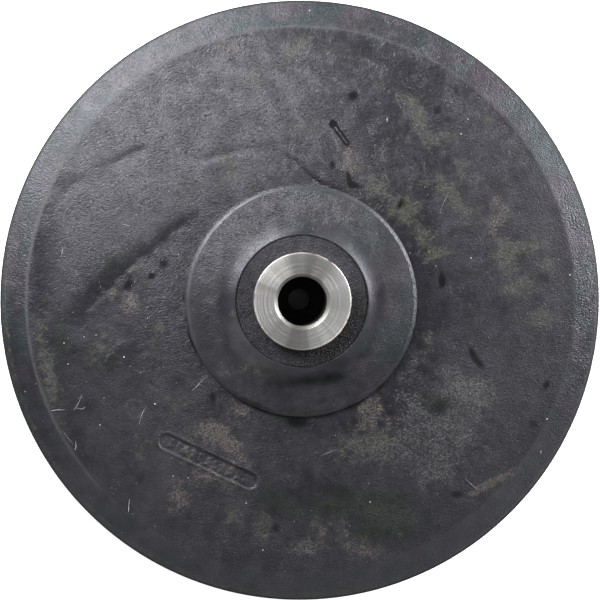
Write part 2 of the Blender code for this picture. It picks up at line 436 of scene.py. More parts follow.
def grain(shader, amount):
    """The fine leathery grain that the mould gives the rubber: its normal, and a tone for its hollows."""
    inputs = {"Vector": shader.place, "Scale": 1 / (2.2 * MM), "Detail": 2.0}
    wander = shader.node("ShaderNodeTexNoise", inputs).outputs["Color"]
    shift = shader.vector("SUBTRACT", {0: wander, 1: (0.5, 0.5, 0.5)})
    shift = shader.vector("SCALE", {0: shift, "Scale": 1.6 * MM})
    bent = shader.vector("ADD", {0: shader.place, 1: shift})
    strokes = []
    for lean in (0, 52):
        inputs = {"Vector": bent, "Rotation": (0, 0, math.radians(lean)), "Scale": (1.9, 0.9, 1.0)}
        drawn = shader.node("ShaderNodeMapping", inputs, vector_type="TEXTURE").outputs[0]
        strokes.append(shader.noise(0.40 * MM, 1.0, place=drawn))
    lean_share = shader.remap(shader.noise(5 * MM, 1.0), 0.46, 0.56)
    upright = shader.times(strokes[0], shader.minus(1.0, lean_share))
    ridges = shader.plus(shader.times(strokes[1], lean_share), upright)
    fine = shader.noise(0.42 * MM, 1.0)
    wrinkles = shader.remap(ridges, 0.36, 0.46, 1.0, 0.0)
    wrinkles = shader.times(wrinkles, shader.remap(shader.noise(3.4 * MM, 2.0), 0.46, 0.62, 0.3, 0.6))
    height = shader.times_plus(fine, 0.6, shader.times_plus(ridges, 1.3, -0.1))
    patches = shader.remap(shader.noise(7 * MM, 3.0, 0.6), 0.38, 0.62, 0.82, 1.1)
    amount = shader.times(amount, patches)
    soft = shader.bump(shader.noise(4.5 * MM, 1.0), 0.5, 0.14 * MM)
    normal = shader.bump(height, shader.least(amount, 1.3), 0.21 * MM, soft)
    depth = shader.times(shader.minus(height, 0.84), shader.times(amount, 1.6))
    wrinkles = shader.times(wrinkles, shader.least(shader.times(amount, 0.55), 0.85))
    tone = shader.minus(shader.plus(depth, 1.0), wrinkles)
    return normal, shader.most(tone, 0.15)


def stained_rubber():
    """The rubber of the drive side: violet-grey, with grainy olive and tan stains and dark spots, and
    painted light and painted shade.
    """
    shader = Shader("stained_rubber")
    cloud = shader.remap(shader.noise(14 * MM, 5.0, 0.6), 0.35, 0.65)
    colour = shader.mix(cloud, RUBBER_DARK, RUBBER_LIGHT)
    # Painted light: the pale tint, laid on by its mask
    painted_light = shader.attribute("painted_light")
    colour = shader.mix(shader.times(painted_light, shader.noise(5 * MM, 4.0)), colour, PAINTED_LIGHT_TINT)
    patch = shader.noise(13 * MM, 3.0, 0.55)
    tinted = shader.attribute("tinted")
    colour = shader.mix(shader.times(tinted, shader.remap(patch, 0.40, 0.55, 0.7, 0.0)), colour, COOL)
    colour = shader.mix(shader.times(tinted, shader.remap(patch, 0.48, 0.62, 0.0, 0.4)), colour, WARM)
    speckle = shader.noise(0.62 * MM, 1.5, 0.6)
    breakup = shader.minus(shader.noise(2.6 * MM, 5.0, 0.7), 0.5)
    moss = shader.remap(shader.times_plus(breakup, 1.6, shader.attribute("moss")), 0.1, 0.9, 0.0, 0.8)
    colour = shader.mix(moss, colour, MOSS)
    stained = 0.0
    for name, stain, ragged, dotted in STAIN_KINDS:
        density = shader.remap(shader.times_plus(breakup, ragged, shader.attribute(name)), 0.16, 0.80)
        dots = shader.remap(shader.times_plus(density, 0.15, speckle), 0.58, 0.68)
        share = shader.times(density, shader.times_plus(dots, dotted, 1 - dotted))
        colour = shader.mix(shader.times(share, 0.9), colour, stain)
        stained = shader.most(share, stained)
    # Dark spots, with painted shade in creases, at the boss's foot and round the rim's edge
    soot_and_shade = shader.remap(shader.times_plus(breakup, 0.35, shader.attribute("soot_and_shade")), 0.15, 0.85, 0.0, 0.86)
    colour = shader.mix(soot_and_shade, colour, SOOT_AND_SHADE)
    bare = shader.most(shader.minus(1.0, shader.times(soot_and_shade, 1.1)), 0.04)
    rough = shader.remap(shader.noise(9 * MM, 4.0), 0.3, 0.7, 0.41, 0.48)
    rough = shader.times_plus(shader.times(stained, bare), 0.18, rough)
    rough = shader.minus(rough, shader.times(soot_and_shade, 0.13))
    rough = shader.minus(rough, shader.times(shader.attribute("polish"), 0.10))
    normal, tone = grain(shader, shader.times(shader.attribute("grain"), bare))
    mottle = shader.remap(shader.noise(3.4 * MM, 4.0, 0.6), 0.32, 0.68, -0.15, 0.17)
    mottle = shader.times(mottle, shader.remap(painted_light, 0.3, 1.2, 1.3, 0.1))
    tone = shader.times(tone, shader.plus(mottle, 1.0))
    rough = shader.times_plus(mottle, 0.06, rough)
    colour = shader.mix(1.0, colour, tone, "MULTIPLY")
    return shader.finish(Base_Color=colour, Roughness=rough, Normal=normal, Specular_IOR_Level=0.58,
                         Specular_Tint=RUBBER_SHEEN)


def plain_rubber():
    """The rubber of the vanes and of the nose round the bush."""
    shader = Shader("plain_rubber")
    cloud = shader.remap(shader.noise(12 * MM, 5.0, 0.6), 0.3, 0.7)
    colour = shader.mix(cloud, RUBBER_DARK, RUBBER_LIGHT)
    dust = shader.remap(shader.noise(7 * MM, 5.0, 0.7), 0.52, 0.72, 0.0, 0.5)
    dust = shader.times(dust, shader.remap(shader.noise(0.6 * MM, 2.0), 0.35, 0.7))
    colour = shader.mix(dust, colour, OLIVE)
    rough = shader.remap(shader.noise(6 * MM, 3.0), 0.3, 0.7, 0.42, 0.60)
    normal, tone = grain(shader, 0.6)
    colour = shader.mix(1.0, colour, tone, "MULTIPLY")
    return shader.finish(Base_Color=colour, Roughness=rough, Normal=normal, Specular_IOR_Level=0.58,
                         Specular_Tint=RUBBER_SHEEN)


def core_material():
    """The rough dark core that shows round the bush, in shade at the lower right."""
    shader = Shader("rough_core")
    cloud = shader.remap(shader.noise(3 * MM, 4.0), 0.35, 0.65)
    colour = shader.mix(cloud, CORE_DARK, CORE_LIGHT)
    place = shader.parts(shader.place)
    low_right = shader.times_plus(place["X"], 0.75, shader.times(place["Y"], -0.66))
    colour = shader.mix(shader.remap(low_right, 4 * MM, 17 * MM, 0.0, 0.82), colour, CORE_SHADE)
    sparkle = shader.remap(shader.noise(0.45 * MM, 1.0, 0.8), 0.60, 0.70)
    colour = shader.mix(sparkle, colour, CORE_SPARKLE)
    height = shader.plus(shader.noise(0.45 * MM, 3.0, 0.7), shader.cells(0.55 * MM))
    normal = shader.bump(height, 0.9, 0.30 * MM)
    return shader.finish(Base_Color=colour, Roughness=0.72, Metallic=0.0, Normal=normal,
                         Specular_IOR_Level=0.3)


def steel_material():
    """Turned steel: fine rings from the tool, a little rust at the outer edge, painted reflections, and
    painted shade in the bore and at its mouth.
    """
    shader = Shader("turned_steel")
    place = shader.parts(shader.place)
    radius = shader.plus(shader.times(place["X"], place["X"]), shader.times(place["Y"], place["Y"]))
    radius = shader.math("POWER", radius, 0.5)
    section = shader.node("ShaderNodeCombineXYZ", {"X": radius, "Y": place["Z"]}).outputs[0]
    rings = shader.noise(0.42 * MM, 2.0, 0.6, section)
    broad = shader.noise(1.0 * MM, 1.0, place=section)
    tone = shader.times_plus(broad, 0.4, shader.times(rings, 1.3))
    colour = shader.mix(shader.remap(tone, 0.70, 0.97), STEEL_DARK, STEEL_LIGHT)
    outwards = shader.node("ShaderNodeCombineXYZ", {"X": place["X"], "Y": place["Y"]}).outputs[0]
    outwards = shader.vector("NORMALIZE", {0: outwards})
    facing = shader.parts(outwards)
    # Painted reflections: random lighter and darker wedges round the axis, lighter to the right and along
    # the upper right to lower left, and darker at the bottom edge
    sectors = shader.noise(1 / 2.4, 3.0, place=outwards)
    side = shader.times_plus(facing["X"], 0.13, shader.times(facing["Y"], 0.225))
    side = shader.times_plus(facing["X"], side, 0.935)
    side = shader.times_plus(place["X"], 0.12 / BUSH_RADIUS, side)
    shade = shader.times(shader.remap(sectors, 0.42, 0.58, 0.92, 1.42), side)
    shade = shader.times(shade, shader.remap(place["Y"], -BUSH_RADIUS, -0.5 * BUSH_RADIUS, 0.88, 1.08))
    colour = shader.mix(1.0, colour, shade, "MULTIPLY")
    patch = shader.noise(4.5 * MM, 3.0)
    colour = shader.mix(shader.remap(patch, 0.54, 0.66, 0.0, 0.5), colour, STEEL_WARM)
    colour = shader.mix(shader.remap(patch, 0.34, 0.46, 0.4, 0.0), colour, STEEL_COOL)
    edge = shader.remap(radius, BUSH_RADIUS - 0.55 * MM, BUSH_RADIUS)
    rust = shader.times(edge, shader.remap(shader.noise(2.2 * MM, 3.0), 0.55, 0.68))
    colour = shader.mix(rust, colour, RUST)
    # Painted shade: the bore's mouth and the lower left of the outer edge dimmed to a dull grey
    mouth = shader.remap(radius, BORE_RADIUS + 0.9 * MM, BORE_RADIUS + 1.3 * MM, 1.0, 0.0)
    low_left = shader.times_plus(facing["X"], -0.6, shader.times(facing["Y"], -0.8))
    dull = shader.most(mouth, shader.times(edge, shader.remap(low_left, -0.2, 0.6, 0.1, 1.0)))
    colour = shader.mix(shader.times(dull, 0.9), colour, STEEL_PAINTED_SHADE)
    # Painted shade inside the bore, below its mouth, where the steel is also made not metallic
    low = shader.remap(place["Z"], BUSH_TOP - 2.2 * MM, BUSH_TOP - 0.9 * MM, 1.0, 0.0)
    inside = shader.remap(radius, BORE_RADIUS + 0.3 * MM, BORE_RADIUS + 0.8 * MM, 1.0, 0.0)
    bore_shade = shader.times(low, inside)
    colour = shader.mix(bore_shade, colour, BORE_SHADE)
    corner = shader.most(edge, mouth)
    rough = shader.times_plus(corner, 0.25, shader.remap(rings, 0.3, 0.7, 0.42, 0.30))
    metal = shader.minus(1.0, bore_shade)
    tangent = shader.node("ShaderNodeTangent", {}, direction_type="RADIAL", axis="Z").outputs["Tangent"]
    normal = shader.bump(rings, 0.35, 0.03 * MM)
    return shader.finish(Base_Color=colour, Metallic=metal, Roughness=rough, Anisotropic=0.55,
                         Anisotropic_Rotation=0.25, Tangent=tangent, Normal=normal)


def speckled_material(name, dark, light, size):
    """A dull material that varies between two colours."""
    shader = Shader(name)
    colour = shader.mix(shader.remap(shader.noise(size, 3.0), 0.35, 0.65), dark, light)
    return shader.finish(Base_Color=colour, Roughness=0.9)


# Creases: the path in pixels of the photograph, the widths on its left and right and the depth, in
# millimetres. The depth is below zero for a raised line. The right side widens along the path.
CREASES = (
    (((204, 209), (192, 217), (177, 229), (161, 242), (144, 254), (128, 268), (112, 283), (97, 298),
      (84, 314), (76, 332), (72, 352)), 16.0, 3.0, 1.1),
    (((132, 257), (116, 270), (102, 284), (90, 298), (80, 314), (74, 332), (74, 350)), 12.0, 2.8, 0.22),
    (((186, 163), (204, 160), (220, 157), (236, 152), (252, 150), (270, 151), (286, 156), (306, 168)),
     2.2, 1.4, 0.62),
    (((276, 154), (290, 158), (298, 163), (306, 171), (318, 181), (333, 188), (350, 196), (366, 208),
      (382, 224)), 0.7, 3.0, 0.45),
    (((152, 149), (140, 149), (128, 154), (114, 162), (100, 166), (84, 168)), 4.0, 1.0, 0.6),
    (((88, 172), (68, 188), (50, 207)), 3.0, 1.6, 0.42),
    (((236, 160), (254, 159), (272, 162), (288, 169)), 2.6, 1.2, -0.15),
    (((128, 338), (112, 352), (94, 368)), 1.2, 1.2, -0.16),
    (((88, 402), (88, 436), (89, 468)), 0.4, 0.4, 0.12),
    (((196, 388), (208, 376)), 0.35, 0.35, -0.14),
    (((148, 380), (153, 386), (160, 388)), 0.35, 0.5, 0.22),
    (((384, 124), (410, 142), (436, 166), (462, 192)), 2.5, 2.5, 0.14),
    (((470, 172), (500, 196), (524, 224)), 2.5, 2.5, 0.10),
    (((120, 462), (136, 480), (152, 502)), 2.0, 1.2, 0.14),
    (((158, 527), (160, 519), (171, 515), (186, 518), (193, 525)), 0.3, 0.3, -0.10),
)
# Dents: the middle and the radius in pixels, and the depth in millimetres
DENTS = (
    (164, 264, 5, 0.10), (153, 277, 4, 0.10), (128, 288, 6, 0.16), (116, 268, 5, 0.08), (214, 400, 4, 0.25),
    (352, 95, 4, 0.05), (438, 404, 9, 0.06), (532, 424, 5, 0.06), (110, 140, 9, 0.10), (186, 180, 10, 0.08),
    (260, 60, 8, 0.08),
)
# How deep the mark over each vane is, in millimetres
SINK_DEPTHS = (0.05, 0.10, 0.06, 0.11, 0.07, 0.05, 0.09)
GATE_MARK = (135, 411)


def vane_sweep(radius):
    """How far round a vane's middle line has turned at this radius, from its start."""
    return np.log(radius / VANE_START_RADIUS) / VANE_SLOPE


def back_relief(x, y):
    """How far the disc's back stands above its flat, away from the recessed plate."""
    radius, angle = np.hypot(x, y), np.arctan2(y, x)
    flat = smoothstep(BEVEL_START, BEVEL_START - 5 * MM, radius)
    rise = flat * 0.10 * MM * fractal_noise(x, y, 21 * MM, 11, 3)
    rise += flat * 0.035 * MM * fractal_noise(x, y, 5 * MM, 23, 2)
    rise -= 0.12 * MM * bell(radius - BOSS_RADIUS - 1.2 * MM, 2.4 * MM)
    for k, depth in enumerate(SINK_DEPTHS):
        course = VANE_START_ANGLE + 2 * math.pi * k / VANE_COUNT + vane_sweep(radius)
        off = (angle - course + math.pi) % (2 * math.pi) - math.pi
        across = off * radius * VANE_SLOPE / math.hypot(1, VANE_SLOPE)
        rise -= flat * depth * MM * bell(across, 2.6 * MM)
    for pixels, left, right, depth in CREASES:
        side, share = path_distance(smooth_path(pixels), x, y, 2.5 * max(left, right) * MM)
        width = np.where(side > 0, left, right * (0.5 + 0.8 * share)) * MM
        taper = smoothstep(0, 0.22, share) * smoothstep(1, 0.55, share)
        wobble = 1 + 0.2 * value_noise(x, y, 2.5 * MM, 31) * bell(side, 2 * MM)
        away = np.abs(side) / width
        rise -= flat * depth * MM * taper * wobble * np.exp(-np.where(side > 0, away**2, away**1.15))
    for px, py, size, depth in DENTS:
        place = at(px, py)
        away = np.hypot(x - place.x, y - place.y)
        dent = bell(away, size / PIXELS_PER_MM * MM)
        rise -= depth * MM * dent * (1 + 0.4 * value_noise(x, y, 1.5 * MM, 37))
    gate = at(*GATE_MARK)
    away = np.hypot(x - gate.x, y - gate.y)
    rise += 0.14 * MM * bell(away - 2.9 * MM, 0.35 * MM)
    return rise + 0.12 * MM * bell(away, 0.7 * MM)


def plate_relief(along, across, distance):
    """The floor of the recessed plate, with a worn row of plain bars."""
    pitch, bar_width, bar_height, bar_rise = 2.6 * MM, 1.1 * MM, 2.6 * MM, 0.26 * MM
    half_row = 5.5 * pitch
    phase = (along + half_row) % pitch - pitch / 2
    bar = smoothstep(bar_width / 2 + 0.15 * MM, bar_width / 2 - 0.15 * MM, np.abs(phase))
    bar *= smoothstep(bar_height / 2 + 0.15 * MM, bar_height / 2 - 0.15 * MM, np.abs(across))
    bar *= (np.abs(along) < half_row)
    worn = 0.65 + 0.30 * value_noise(along, across, 4 * MM, 41)
    floor = -PLATE_DEPTH + 0.10 * MM * fractal_noise(along, across, 1.0 * MM, 43, 2)
    floor += 0.14 * MM * smoothstep(0, -PLATE_LENGTH / 2, along)
    inside = smoothstep(0.0, -0.45 * MM, distance)
    return inside * (floor + bar * worn * bar_rise)


# Stains: the middle, half the length, half the width (pixels), the lean (degrees) and the strength
OLIVE_STAINS = (
    (320, 50, 17, 8, -15, 0.3), (366, 66, 20, 7, -38, 0.45), (392, 92, 13, 3, -30, 0.4),
    (304, 78, 8, 6, 0, 0.3), (417, 118, 18, 9, -62, 0.9), (442, 138, 13, 6, 0, 0.6),
    (486, 121, 5, 7, 0, 0.7), (306, 130, 13, 11, 20, 0.6), (376, 186, 19, 12, -40, 0.7),
    (464, 172, 14, 5, -62, 0.6), (454, 199, 30, 9, -44, 0.8), (404, 208, 14, 8, 20, 0.6),
    (422, 236, 20, 9, -55, 0.8), (444, 252, 11, 4, 12, 0.8), (526, 246, 18, 6, 5, 0.8),
    (505, 262, 8, 12, 20, 0.7), (524, 283, 12, 8, 15, 0.7), (510, 294, 9, 6, 0, 0.5),
    (548, 264, 9, 8, 0, 0.6), (540, 318, 12, 8, 0, 0.8), (515, 324, 5, 4, 0, 0.5),
    (256, 76, 17, 5, 28, 0.7), (294, 48, 12, 7, 50, 0.7), (224, 156, 9, 4, 0, 0.5),
    (252, 142, 14, 7, 0, 0.3), (184, 184, 17, 10, 30, 0.35), (230, 178, 12, 14, 20, 0.3),
    (98, 222, 8, 10, 20, 0.35), (86, 246, 5, 8, 0, 0.5), (138, 272, 14, 9, 50, 0.5),
    (158, 334, 8, 12, 0, 0.5), (108, 294, 10, 5, 20, 0.6), (100, 348, 24, 12, 60, 0.5),
    (222, 290, 3, 13, 0, 0.35), (231, 340, 4, 18, 10, 0.3), (364, 352, 3, 12, 0, 0.3),
    (44, 350, 8, 46, 6, 0.5), (54, 384, 6, 26, 8, 0.4), (176, 402, 13, 8, 0, 0.45),
    (140, 452, 14, 20, 10, 0.4), (226, 484, 15, 7, -28, 0.5), (252, 356, 8, 20, 35, 0.4),
    (262, 372, 26, 4, -10, 0.4), (233, 516, 14, 13, 0, 0.5), (264, 524, 9, 15, 0, 0.5),
    (360, 452, 20, 15, 0, 0.5), (424, 344, 24, 9, 55, 0.4), (370, 436, 26, 12, -10, 0.4),
    (392, 514, 24, 12, -25, 0.3), (330, 528, 24, 16, 0, 0.4), (232, 172, 9, 9, 0, 0.25),
)
TAN_STAINS = (
    (232, 50, 15, 6, -10, 0.5), (352, 162, 7, 15, 24, 0.95), (274, 171, 5, 5, 0, 0.7),
    (404, 100, 6, 6, 0, 0.5), (497, 214, 8, 17, -8, 0.9), (132, 303, 9, 11, 0, 0.7),
    (97, 324, 9, 6, -20, 0.45), (206, 432, 14, 9, -20, 0.7), (232, 446, 20, 10, -48, 0.8),
    (206, 474, 18, 8, 10, 0.8), (180, 500, 13, 10, -50, 0.8), (188, 450, 10, 8, 0, 0.6),
    (244, 411, 13, 9, -20, 0.7), (370, 412, 9, 13, 0, 1.0), (392, 421, 6, 5, 0, 0.7),
    (490, 485, 24, 3.4, 32, 0.95), (318, 536, 10, 16, 0, 0.5), (372, 550, 13, 9, 0, 0.6),
    (346, 538, 10, 12, 0, 0.5), (444, 252, 8, 3, 12, 0.5), (232, 310, 3, 7, 0, 0.6),
    (260, 530, 8, 10, 0, 0.3),
)
PALE_STAINS = (
    (446, 436, 44, 36, -35, 0.6), (408, 400, 12, 18, 0, 0.3), (422, 346, 24, 8, 60, 0.5),
    (432, 478, 20, 10, 15, 0.3), (478, 390, 18, 16, 0, 0.5), (44, 320, 10, 30, 0, 0.35),
    (226, 372, 14, 9, 30, 0.45), (330, 452, 16, 20, 0, 0.3), (306, 540, 10, 18, 0, 0.35),
    (262, 522, 12, 10, 0, 0.5), (322, 538, 12, 10, 0, 0.4), (296, 552, 30, 6, 0, 0.35),
    (372, 548, 14, 10, 0, 0.45), (376, 452, 26, 18, 0, 0.5), (250, 392, 14, 8, 0, 0.4),
    (460, 380, 20, 12, -20, 0.35), (110, 354, 3, 18, -48, 0.6),
)
MOSS_STAINS = (
    (382, 508, 27, 17, 0, 0.9), (398, 530, 16, 8, 0, 0.7), (302, 508, 17, 10, 0, 0.7),
    (268, 499, 16, 7, 0, 0.6), (340, 500, 10, 13, 0, 0.6), (365, 540, 16, 7, 0, 0.5),
    (60, 340, 10, 22, 0, 0.6), (104, 352, 14, 20, 30, 0.5), (116, 262, 16, 10, 40, 0.5),
    (440, 264, 5, 15, 5, 0.5), (438, 404, 16, 11, 0, 0.7), (298, 418, 14, 6, 0, 0.6),
    (250, 404, 22, 6, -25, 0.5), (520, 262, 16, 9, 15, 0.5), (188, 186, 14, 9, 30, 0.35),
    (372, 200, 8, 8, 0, 0.4),
)
SOOT_SPOTS = (
    (353, 95, 4.5, 4.5, 0, 0.9), (332, 123, 3, 3, 0, 1.0), (331, 165, 2, 4, -20, 0.9),
    (349, 177, 2, 7, 25, 0.9), (388, 140, 24, 24, 0, 0.36), (355, 186, 5, 2.5, -20, 0.9),
    (400, 204, 2.5, 6, -25, 0.8), (442, 281, 2.6, 5, 0, 1.0), (440, 262, 5, 14, 5, 0.3),
    (438, 109, 4, 4, 0, 0.6), (448, 119, 4, 2.5, 0, 0.6), (520, 258, 10, 5, 20, 0.4),
    (543, 277, 8, 6, 0, 0.6), (164, 264, 6, 4.5, 60, 0.7), (153, 277, 3.2, 2.6, 0, 0.9),
    (128, 286, 3, 5.5, 0, 0.95), (478, 360, 3, 9, 38, 0.8), (472, 351, 1.8, 5, 20, 0.5),
    (438, 406, 12, 8, 0, 0.6), (545, 386, 2.4, 5, -35, 0.9), (532, 424, 4, 5, -30, 0.6),
    (457, 494, 5, 3.5, 0, 0.8), (276, 527, 4, 4, 0, 0.6), (296, 421, 9, 5, 0, 0.95),
    (320, 378, 16, 4, 5, 0.25), (254, 404, 18, 3, -25, 0.6), (264, 371, 13, 5, -28, 0.42),
    (302, 382, 30, 5, 3, 0.48), (338, 376, 12, 5, 25, 0.38), (208, 316, 5, 12, 0, 0.3),
    (262, 226, 4, 5, 0, 0.2), (213, 399, 3, 8, 0, 0.6), (330, 398, 30, 4, 12, 0.34),
    (362, 356, 5, 3, 0, 0.5), (388, 318, 3, 8, -30, 0.3), (496, 212, 4, 6, 20, 0.5),
    (174, 118, 3, 3, 0, 0.3),
)
# Areas painted lighter, or painted darker where the strength is below zero, as painted light and shade;
# lighter ones are also rougher, darker ones smoother with fainter grain
LIGHT_AND_SHADE_PATCHES = (
    (362, 54, 66, 26, -14, -0.6), (422, 86, 22, 26, -30, -0.2), (380, 118, 44, 14, 0, -0.3),
    (340, 14, 60, 5, 5, 0.5), (165, 470, 13, 38, -20, 0.3), (442, 166, 10, 22, 20, -0.2),
    (490, 142, 42, 26, -45, 0.35), (238, 182, 36, 9, 0, 0.30), (234, 144, 26, 5, 0, 0.25),
    (174, 292, 12, 24, 0, 0.25), (188, 378, 32, 16, 20, 0.25), (270, 436, 46, 10, 0, 0.15),
    (400, 392, 8, 34, 0, -0.3), (160, 218, 26, 8, 30, 0.3), (108, 172, 42, 8, 26, -0.25),
    (166, 236, 30, 5, 37, -0.45), (104, 300, 40, 22, 55, -0.5), (118, 322, 36, 24, 50, -0.4),
    (58, 246, 14, 40, -12, -0.2), (308, 498, 28, 13, 0, -0.5), (40, 260, 14, 66, 5, -0.6),
    (68, 440, 9, 40, -25, -0.35), (110, 160, 24, 5, 15, -0.3), (548, 236, 11, 48, 8, 0.5),
    (392, 250, 14, 34, -10, -0.45), (478, 392, 16, 18, 0, 0.25), (530, 404, 16, 12, 0, 0.2),
    (440, 346, 8, 12, 0, 0.3), (253, 250, 13, 7, 45, 1.1), (347, 248, 7, 4, -45, 0.5),
    (540, 365, 20, 18, 0, 0.25), (486, 302, 24, 14, 0, -0.3), (418, 350, 8, 24, -25, -0.35),
    (325, 230, 14, 6, -10, -0.4), (264, 372, 16, 5, -10, -0.3), (272, 104, 14, 10, 0, 0.3),
    (328, 34, 26, 8, -8, -0.4), (356, 84, 8, 16, 0, -0.3), (440, 170, 14, 16, 0, -0.3),
    (352, 180, 20, 10, -30, 0.3), (134, 410, 10, 8, 0, 0.5),
)
# The outline of a small dark stroke: its ends and half its width, in pixels
SOOT_RING = ((332, 123), (347, 143), 2.0)
# Dark lines painted as shade in creases and along the boss's edge: the path in pixels, the width in
# millimetres and the strength
CREASE_SHADE_LINES = (
    (((292, 159), (298, 163), (306, 171), (318, 181), (333, 188), (348, 194)), 0.34, 0.75),
    (((176, 224), (164, 232), (150, 241), (138, 249)), 0.50, 0.42),
    (((384, 236), (388, 226), (393, 214)), 0.4, 0.4),
)


def stain_mask(spots, x, y, seed, sharpness=1.0, wander=2.2 * MM):
    """How strong these stains are at each point, with wandering edges."""
    warp_x = wander * fractal_noise(x, y, 5 * MM, seed, 4)
    warp_y = wander * fractal_noise(x, y, 5 * MM, seed + 50, 4)
    mask = np.zeros(x.shape)
    for px, py, long, short, lean, strength in spots:
        place = at(px, py)
        dx, dy = x + warp_x - place.x, y + warp_y - place.y
        turn = math.radians(lean)
        u = (dx * math.cos(turn) + dy * math.sin(turn)) / (long / PIXELS_PER_MM * MM)
        v = (dy * math.cos(turn) - dx * math.sin(turn)) / (short / PIXELS_PER_MM * MM)
        mask += strength * np.exp(-0.5 * (u * u + v * v) ** sharpness)
    return np.minimum(mask, 1.15)


def soot_and_shade_mask(x, y, radius):
    """Dark spots and one small outline, with painted shade in creases, a painted shadow at the boss's foot
    and a painted dark line round the rim's edge.
    """
    soot_and_shade = stain_mask(SOOT_SPOTS, x, y, 91, 1.1, 0.8 * MM)
    start, end, width = SOOT_RING
    side, _ = path_distance(smooth_path((start, end)), x, y, 3 * MM)
    soot_and_shade = np.maximum(soot_and_shade, bell(np.abs(side) - width / PIXELS_PER_MM * MM, 0.42 * MM))
    for pixels, width, strength in CREASE_SHADE_LINES:
        side, share = path_distance(smooth_path(pixels), x, y, 3 * MM)
        soot_and_shade = np.maximum(soot_and_shade, strength * bell(side, width * MM) * np.sin(math.pi * share) ** 0.5)
    # Painted shadow at the boss's foot, on its left and lower sides
    angle = np.degrees(np.arctan2(y, x)) % 360
    foot_shadow = np.maximum(smoothstep(172, 180, angle) * smoothstep(222, 206, angle),
                         smoothstep(228, 240, angle) * smoothstep(332, 300, angle))
    foot_shadow = foot_shadow * (0.5 + 0.6 * fractal_noise(x, y, 4 * MM, 98, 3))
    off_foot = radius - BOSS_RADIUS - 0.35 * MM - 0.25 * MM * value_noise(x, y, 4 * MM, 97)
    soot_and_shade = np.maximum(soot_and_shade, foot_shadow * bell(off_foot, 0.5 * MM))
    # A painted dark line round the rim's edge, as shade on its rounding
    return np.maximum(soot_and_shade, 0.9 * smoothstep(DISC_RADIUS - 0.9 * MM, DISC_RADIUS - 0.5 * MM, radius))


def find_zones(x, y):
    """The areas of the drive side that the masks share, mostly from 0 to 1.

    u and v are the place in disc radii, to the right and up in the photograph. boss_u and boss_v are the
    same in boss radii, and way_x and way_y give the direction from the middle.
    """
    radius = np.hypot(x, y)
    reach = np.maximum(radius, 1 * MM)
    zone = SimpleNamespace(u=x / DISC_RADIUS, v=y / DISC_RADIUS, boss_u=x / BOSS_RADIUS,
                           boss_v=y / BOSS_RADIUS, way_x=x / reach, way_y=y / reach)
    zone.sunny = 0.85 * zone.v - 0.53 * zone.u
    zone.up_left = zone.v - zone.u
    zone.right = smoothstep(-0.2, 0.8, zone.way_x - 0.35 * zone.way_y)
    zone.smooth_left = bell(x + 62 * MM, 30 * MM) * bell(y + 58 * MM, 30 * MM)
    zone.bevel = smoothstep(BEVEL_START - 0.3 * MM, BEVEL_START + 0.3 * MM, radius)
    zone.bright_rim = zone.bevel * smoothstep(0.5, 0.95, zone.up_left / 1.41)
    zone.bevel_side = np.abs(zone.u)
    zone.edge_line = bell(radius - BEVEL_START, 0.45 * MM)
    zone.near_bevel = smoothstep(BEVEL_START - 11 * MM, BEVEL_START - 1 * MM, radius)
    zone.near_bevel = zone.near_bevel * (1 - zone.bevel) * smoothstep(0.5, 1.2, zone.up_left)
    zone.rim_line = bell(radius - DISC_RADIUS + 1.1 * MM, 0.3 * MM) * smoothstep(0.2, 0.9, zone.u)
    zone.dark_rim = smoothstep(DISC_RADIUS - 0.75 * MM, DISC_RADIUS - 0.45 * MM, radius)
    zone.moat = bell(radius - BOSS_RADIUS - 4 * MM, 8 * MM) * (radius > BOSS_RADIUS)
    zone.inside_foot = radius < BOSS_RADIUS
    boss = smoothstep(BOSS_RADIUS + 0.2 * MM, BOSS_RADIUS, radius)
    zone.upper_boss = boss * smoothstep(-0.35, 0.65, zone.boss_v + 0.15 * zone.boss_u)
    zone.low_boss = boss * smoothstep(0.25, -0.5, zone.boss_v + 0.45 * zone.boss_u)
    zone.flare = boss * smoothstep(COLLAR_RADIUS + 7 * MM, COLLAR_RADIUS + 3 * MM, radius)
    zone.off_light = zone.flare * smoothstep(0.97, 0.75, 0.707 * (zone.way_y + np.abs(zone.way_x)))
    zone.off_light = zone.off_light * smoothstep(-0.6, -0.1, zone.way_y)
    zone.boss_edge = bell(radius - BOSS_RADIUS + 0.9 * MM, 0.8 * MM)
    zone.bright_edge = zone.boss_edge * smoothstep(-0.2, 0.5, 2 * zone.sunny)
    zone.patches = stain_mask(LIGHT_AND_SHADE_PATCHES, x, y, 101)
    zone.patches = np.where(zone.patches < 0, zone.patches * (1 - 0.8 * zone.bevel), zone.patches)
    return zone


def tinted_mask(zone):
    """Where the rubber has a cool or a warm tint: the bevel, more at the top, and the boss's right side."""
    upper = 0.25 + 0.75 * smoothstep(-0.4, 0.3, zone.v)
    right_boss = zone.inside_foot * smoothstep(-0.35, 0.45, zone.boss_u + 0.6 * zone.boss_v)
    return np.clip(1.2 * zone.bevel * upper * (1 - 0.4 * zone.bright_rim) + 0.45 * right_boss, 0, 1)


